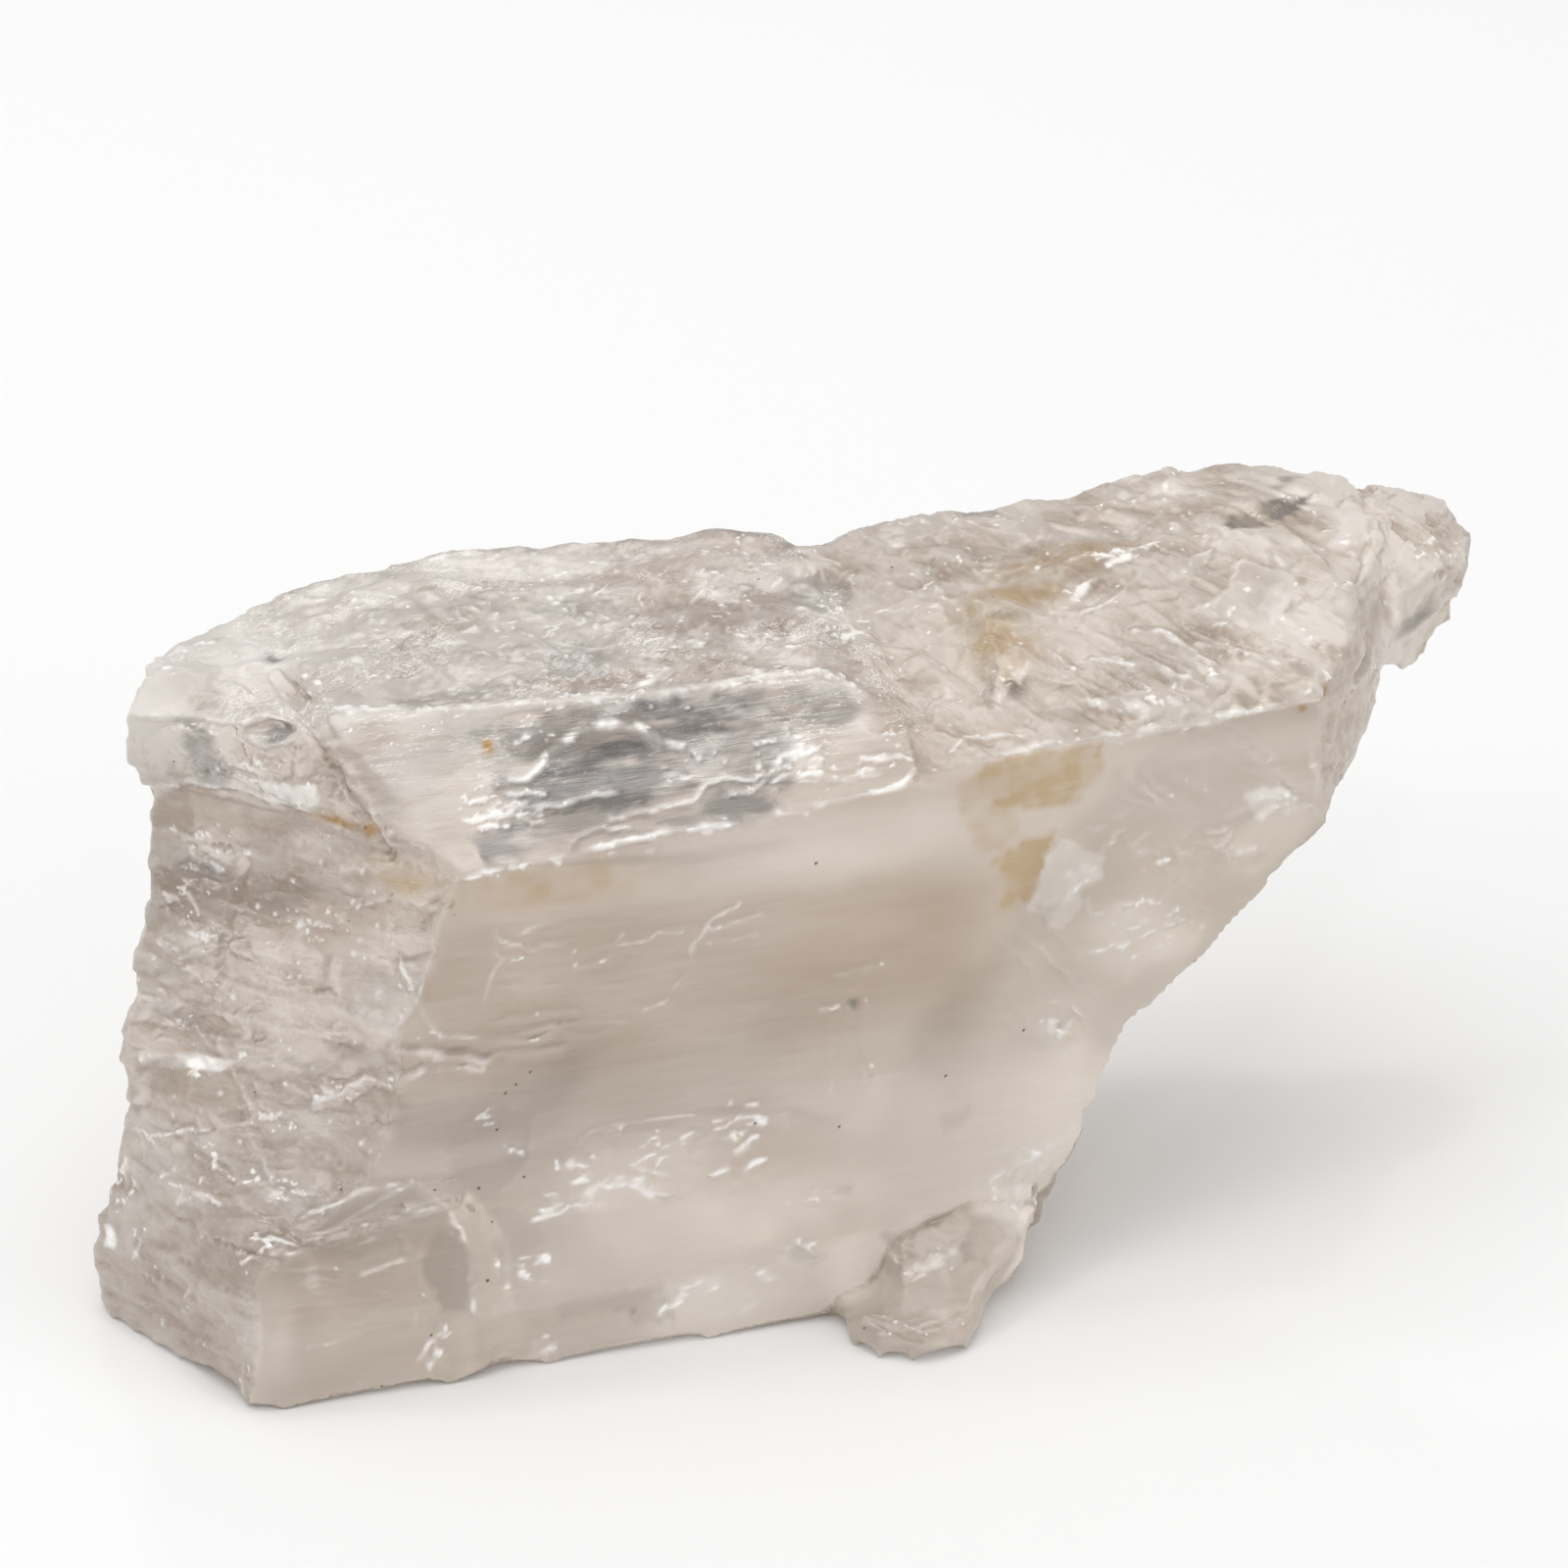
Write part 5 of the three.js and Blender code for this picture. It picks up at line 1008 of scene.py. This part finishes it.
stageLook = {
    "paint": (0.88, 0.88, 0.88, 1),
    "size": 3,
    "gap": 0.00006,         # keeps the floor clear of the flat base
    "roughness": 0.7,
    "speckle": 0.1,
    "sky": 0.58,
    "aim": (0, 0, 0.01),
}
deselectAll()
bpy.ops.mesh.primitive_plane_add(size=stageLook["size"], location=(0, 0, -stageLook["gap"]))
floor = bpy.context.object
floor.name = "studio_floor"
floorPaint = startMaterial("floor_paint")
floorSpeckle = Wire.make("ShaderNodeTexNoise", {}, {"Vector": Wire.make("ShaderNodeTexCoord", out=3), "Scale": 60.0})
endMaterial(floorPaint, Wire.make("ShaderNodeBsdfPrincipled", {}, {
    "Base Color": stageLook["paint"], "Roughness": stageLook["roughness"] + stageLook["speckle"] * floorSpeckle}))
floor.data.materials.append(floorPaint)

world = bpy.data.worlds.new("studio")
bpy.context.scene.world = world
world.use_nodes = True
world.node_tree.nodes["Background"].inputs["Color"].default_value = (1, 1, 1, 1)
world.node_tree.nodes["Background"].inputs["Strength"].default_value = stageLook["sky"]

lamps = {
    "overhead": {"place": (-0.05, 0.05, 0.5), "size": 0.45, "watts": 1.05},
    "leftSoft": {"place": (-0.40, -0.10, 0.30), "size": 0.12, "watts": 0.25},
    "rightFill": {"place": (0.32, -0.34, 0.14), "size": 0.25, "watts": 0.45},
    "sparkBack": {"place": (0.08, 0.42, 0.30), "size": 0.035, "watts": 0.12},
    "sparkLeft": {"place": (-0.35, 0.20, 0.36), "size": 0.03, "watts": 0.10},
    "sparkTop": {"place": (0.05, 0.12, 0.50), "size": 0.03, "watts": 0.10},
    "sparkFront": {"place": (-0.10, -0.30, 0.42), "size": 0.03, "watts": 0.08},
}
for name, lamp in lamps.items():
    deselectAll()
    bpy.ops.object.light_add(type="AREA", location=lamp["place"])
    light = bpy.context.object
    light.name = name
    light.data.size = lamp["size"]
    light.data.energy = lamp["watts"]
    aim = Vector(stageLook["aim"]) - Vector(lamp["place"])
    light.rotation_euler = aim.to_track_quat("-Z", "Y").to_euler()

cameraLook = {"place": (-0.06235, -0.16888, 0.1206), "towards": (0.2962, 0.8138, -0.5), "lens": 135, "sensor": 36}
deselectAll()
bpy.ops.object.camera_add(location=cameraLook["place"])
camera = bpy.context.object
camera.rotation_euler = Vector(cameraLook["towards"]).to_track_quat("-Z", "Y").to_euler()
camera.data.lens = cameraLook["lens"]
camera.data.sensor_width = cameraLook["sensor"]
camera.data.sensor_fit = "HORIZONTAL"
camera.data.clip_start = 0.01
bpy.context.scene.camera = camera
bpy.context.scene.view_settings.view_transform = "Standard"
print("stage set")

bpy.context.view_layer.update()
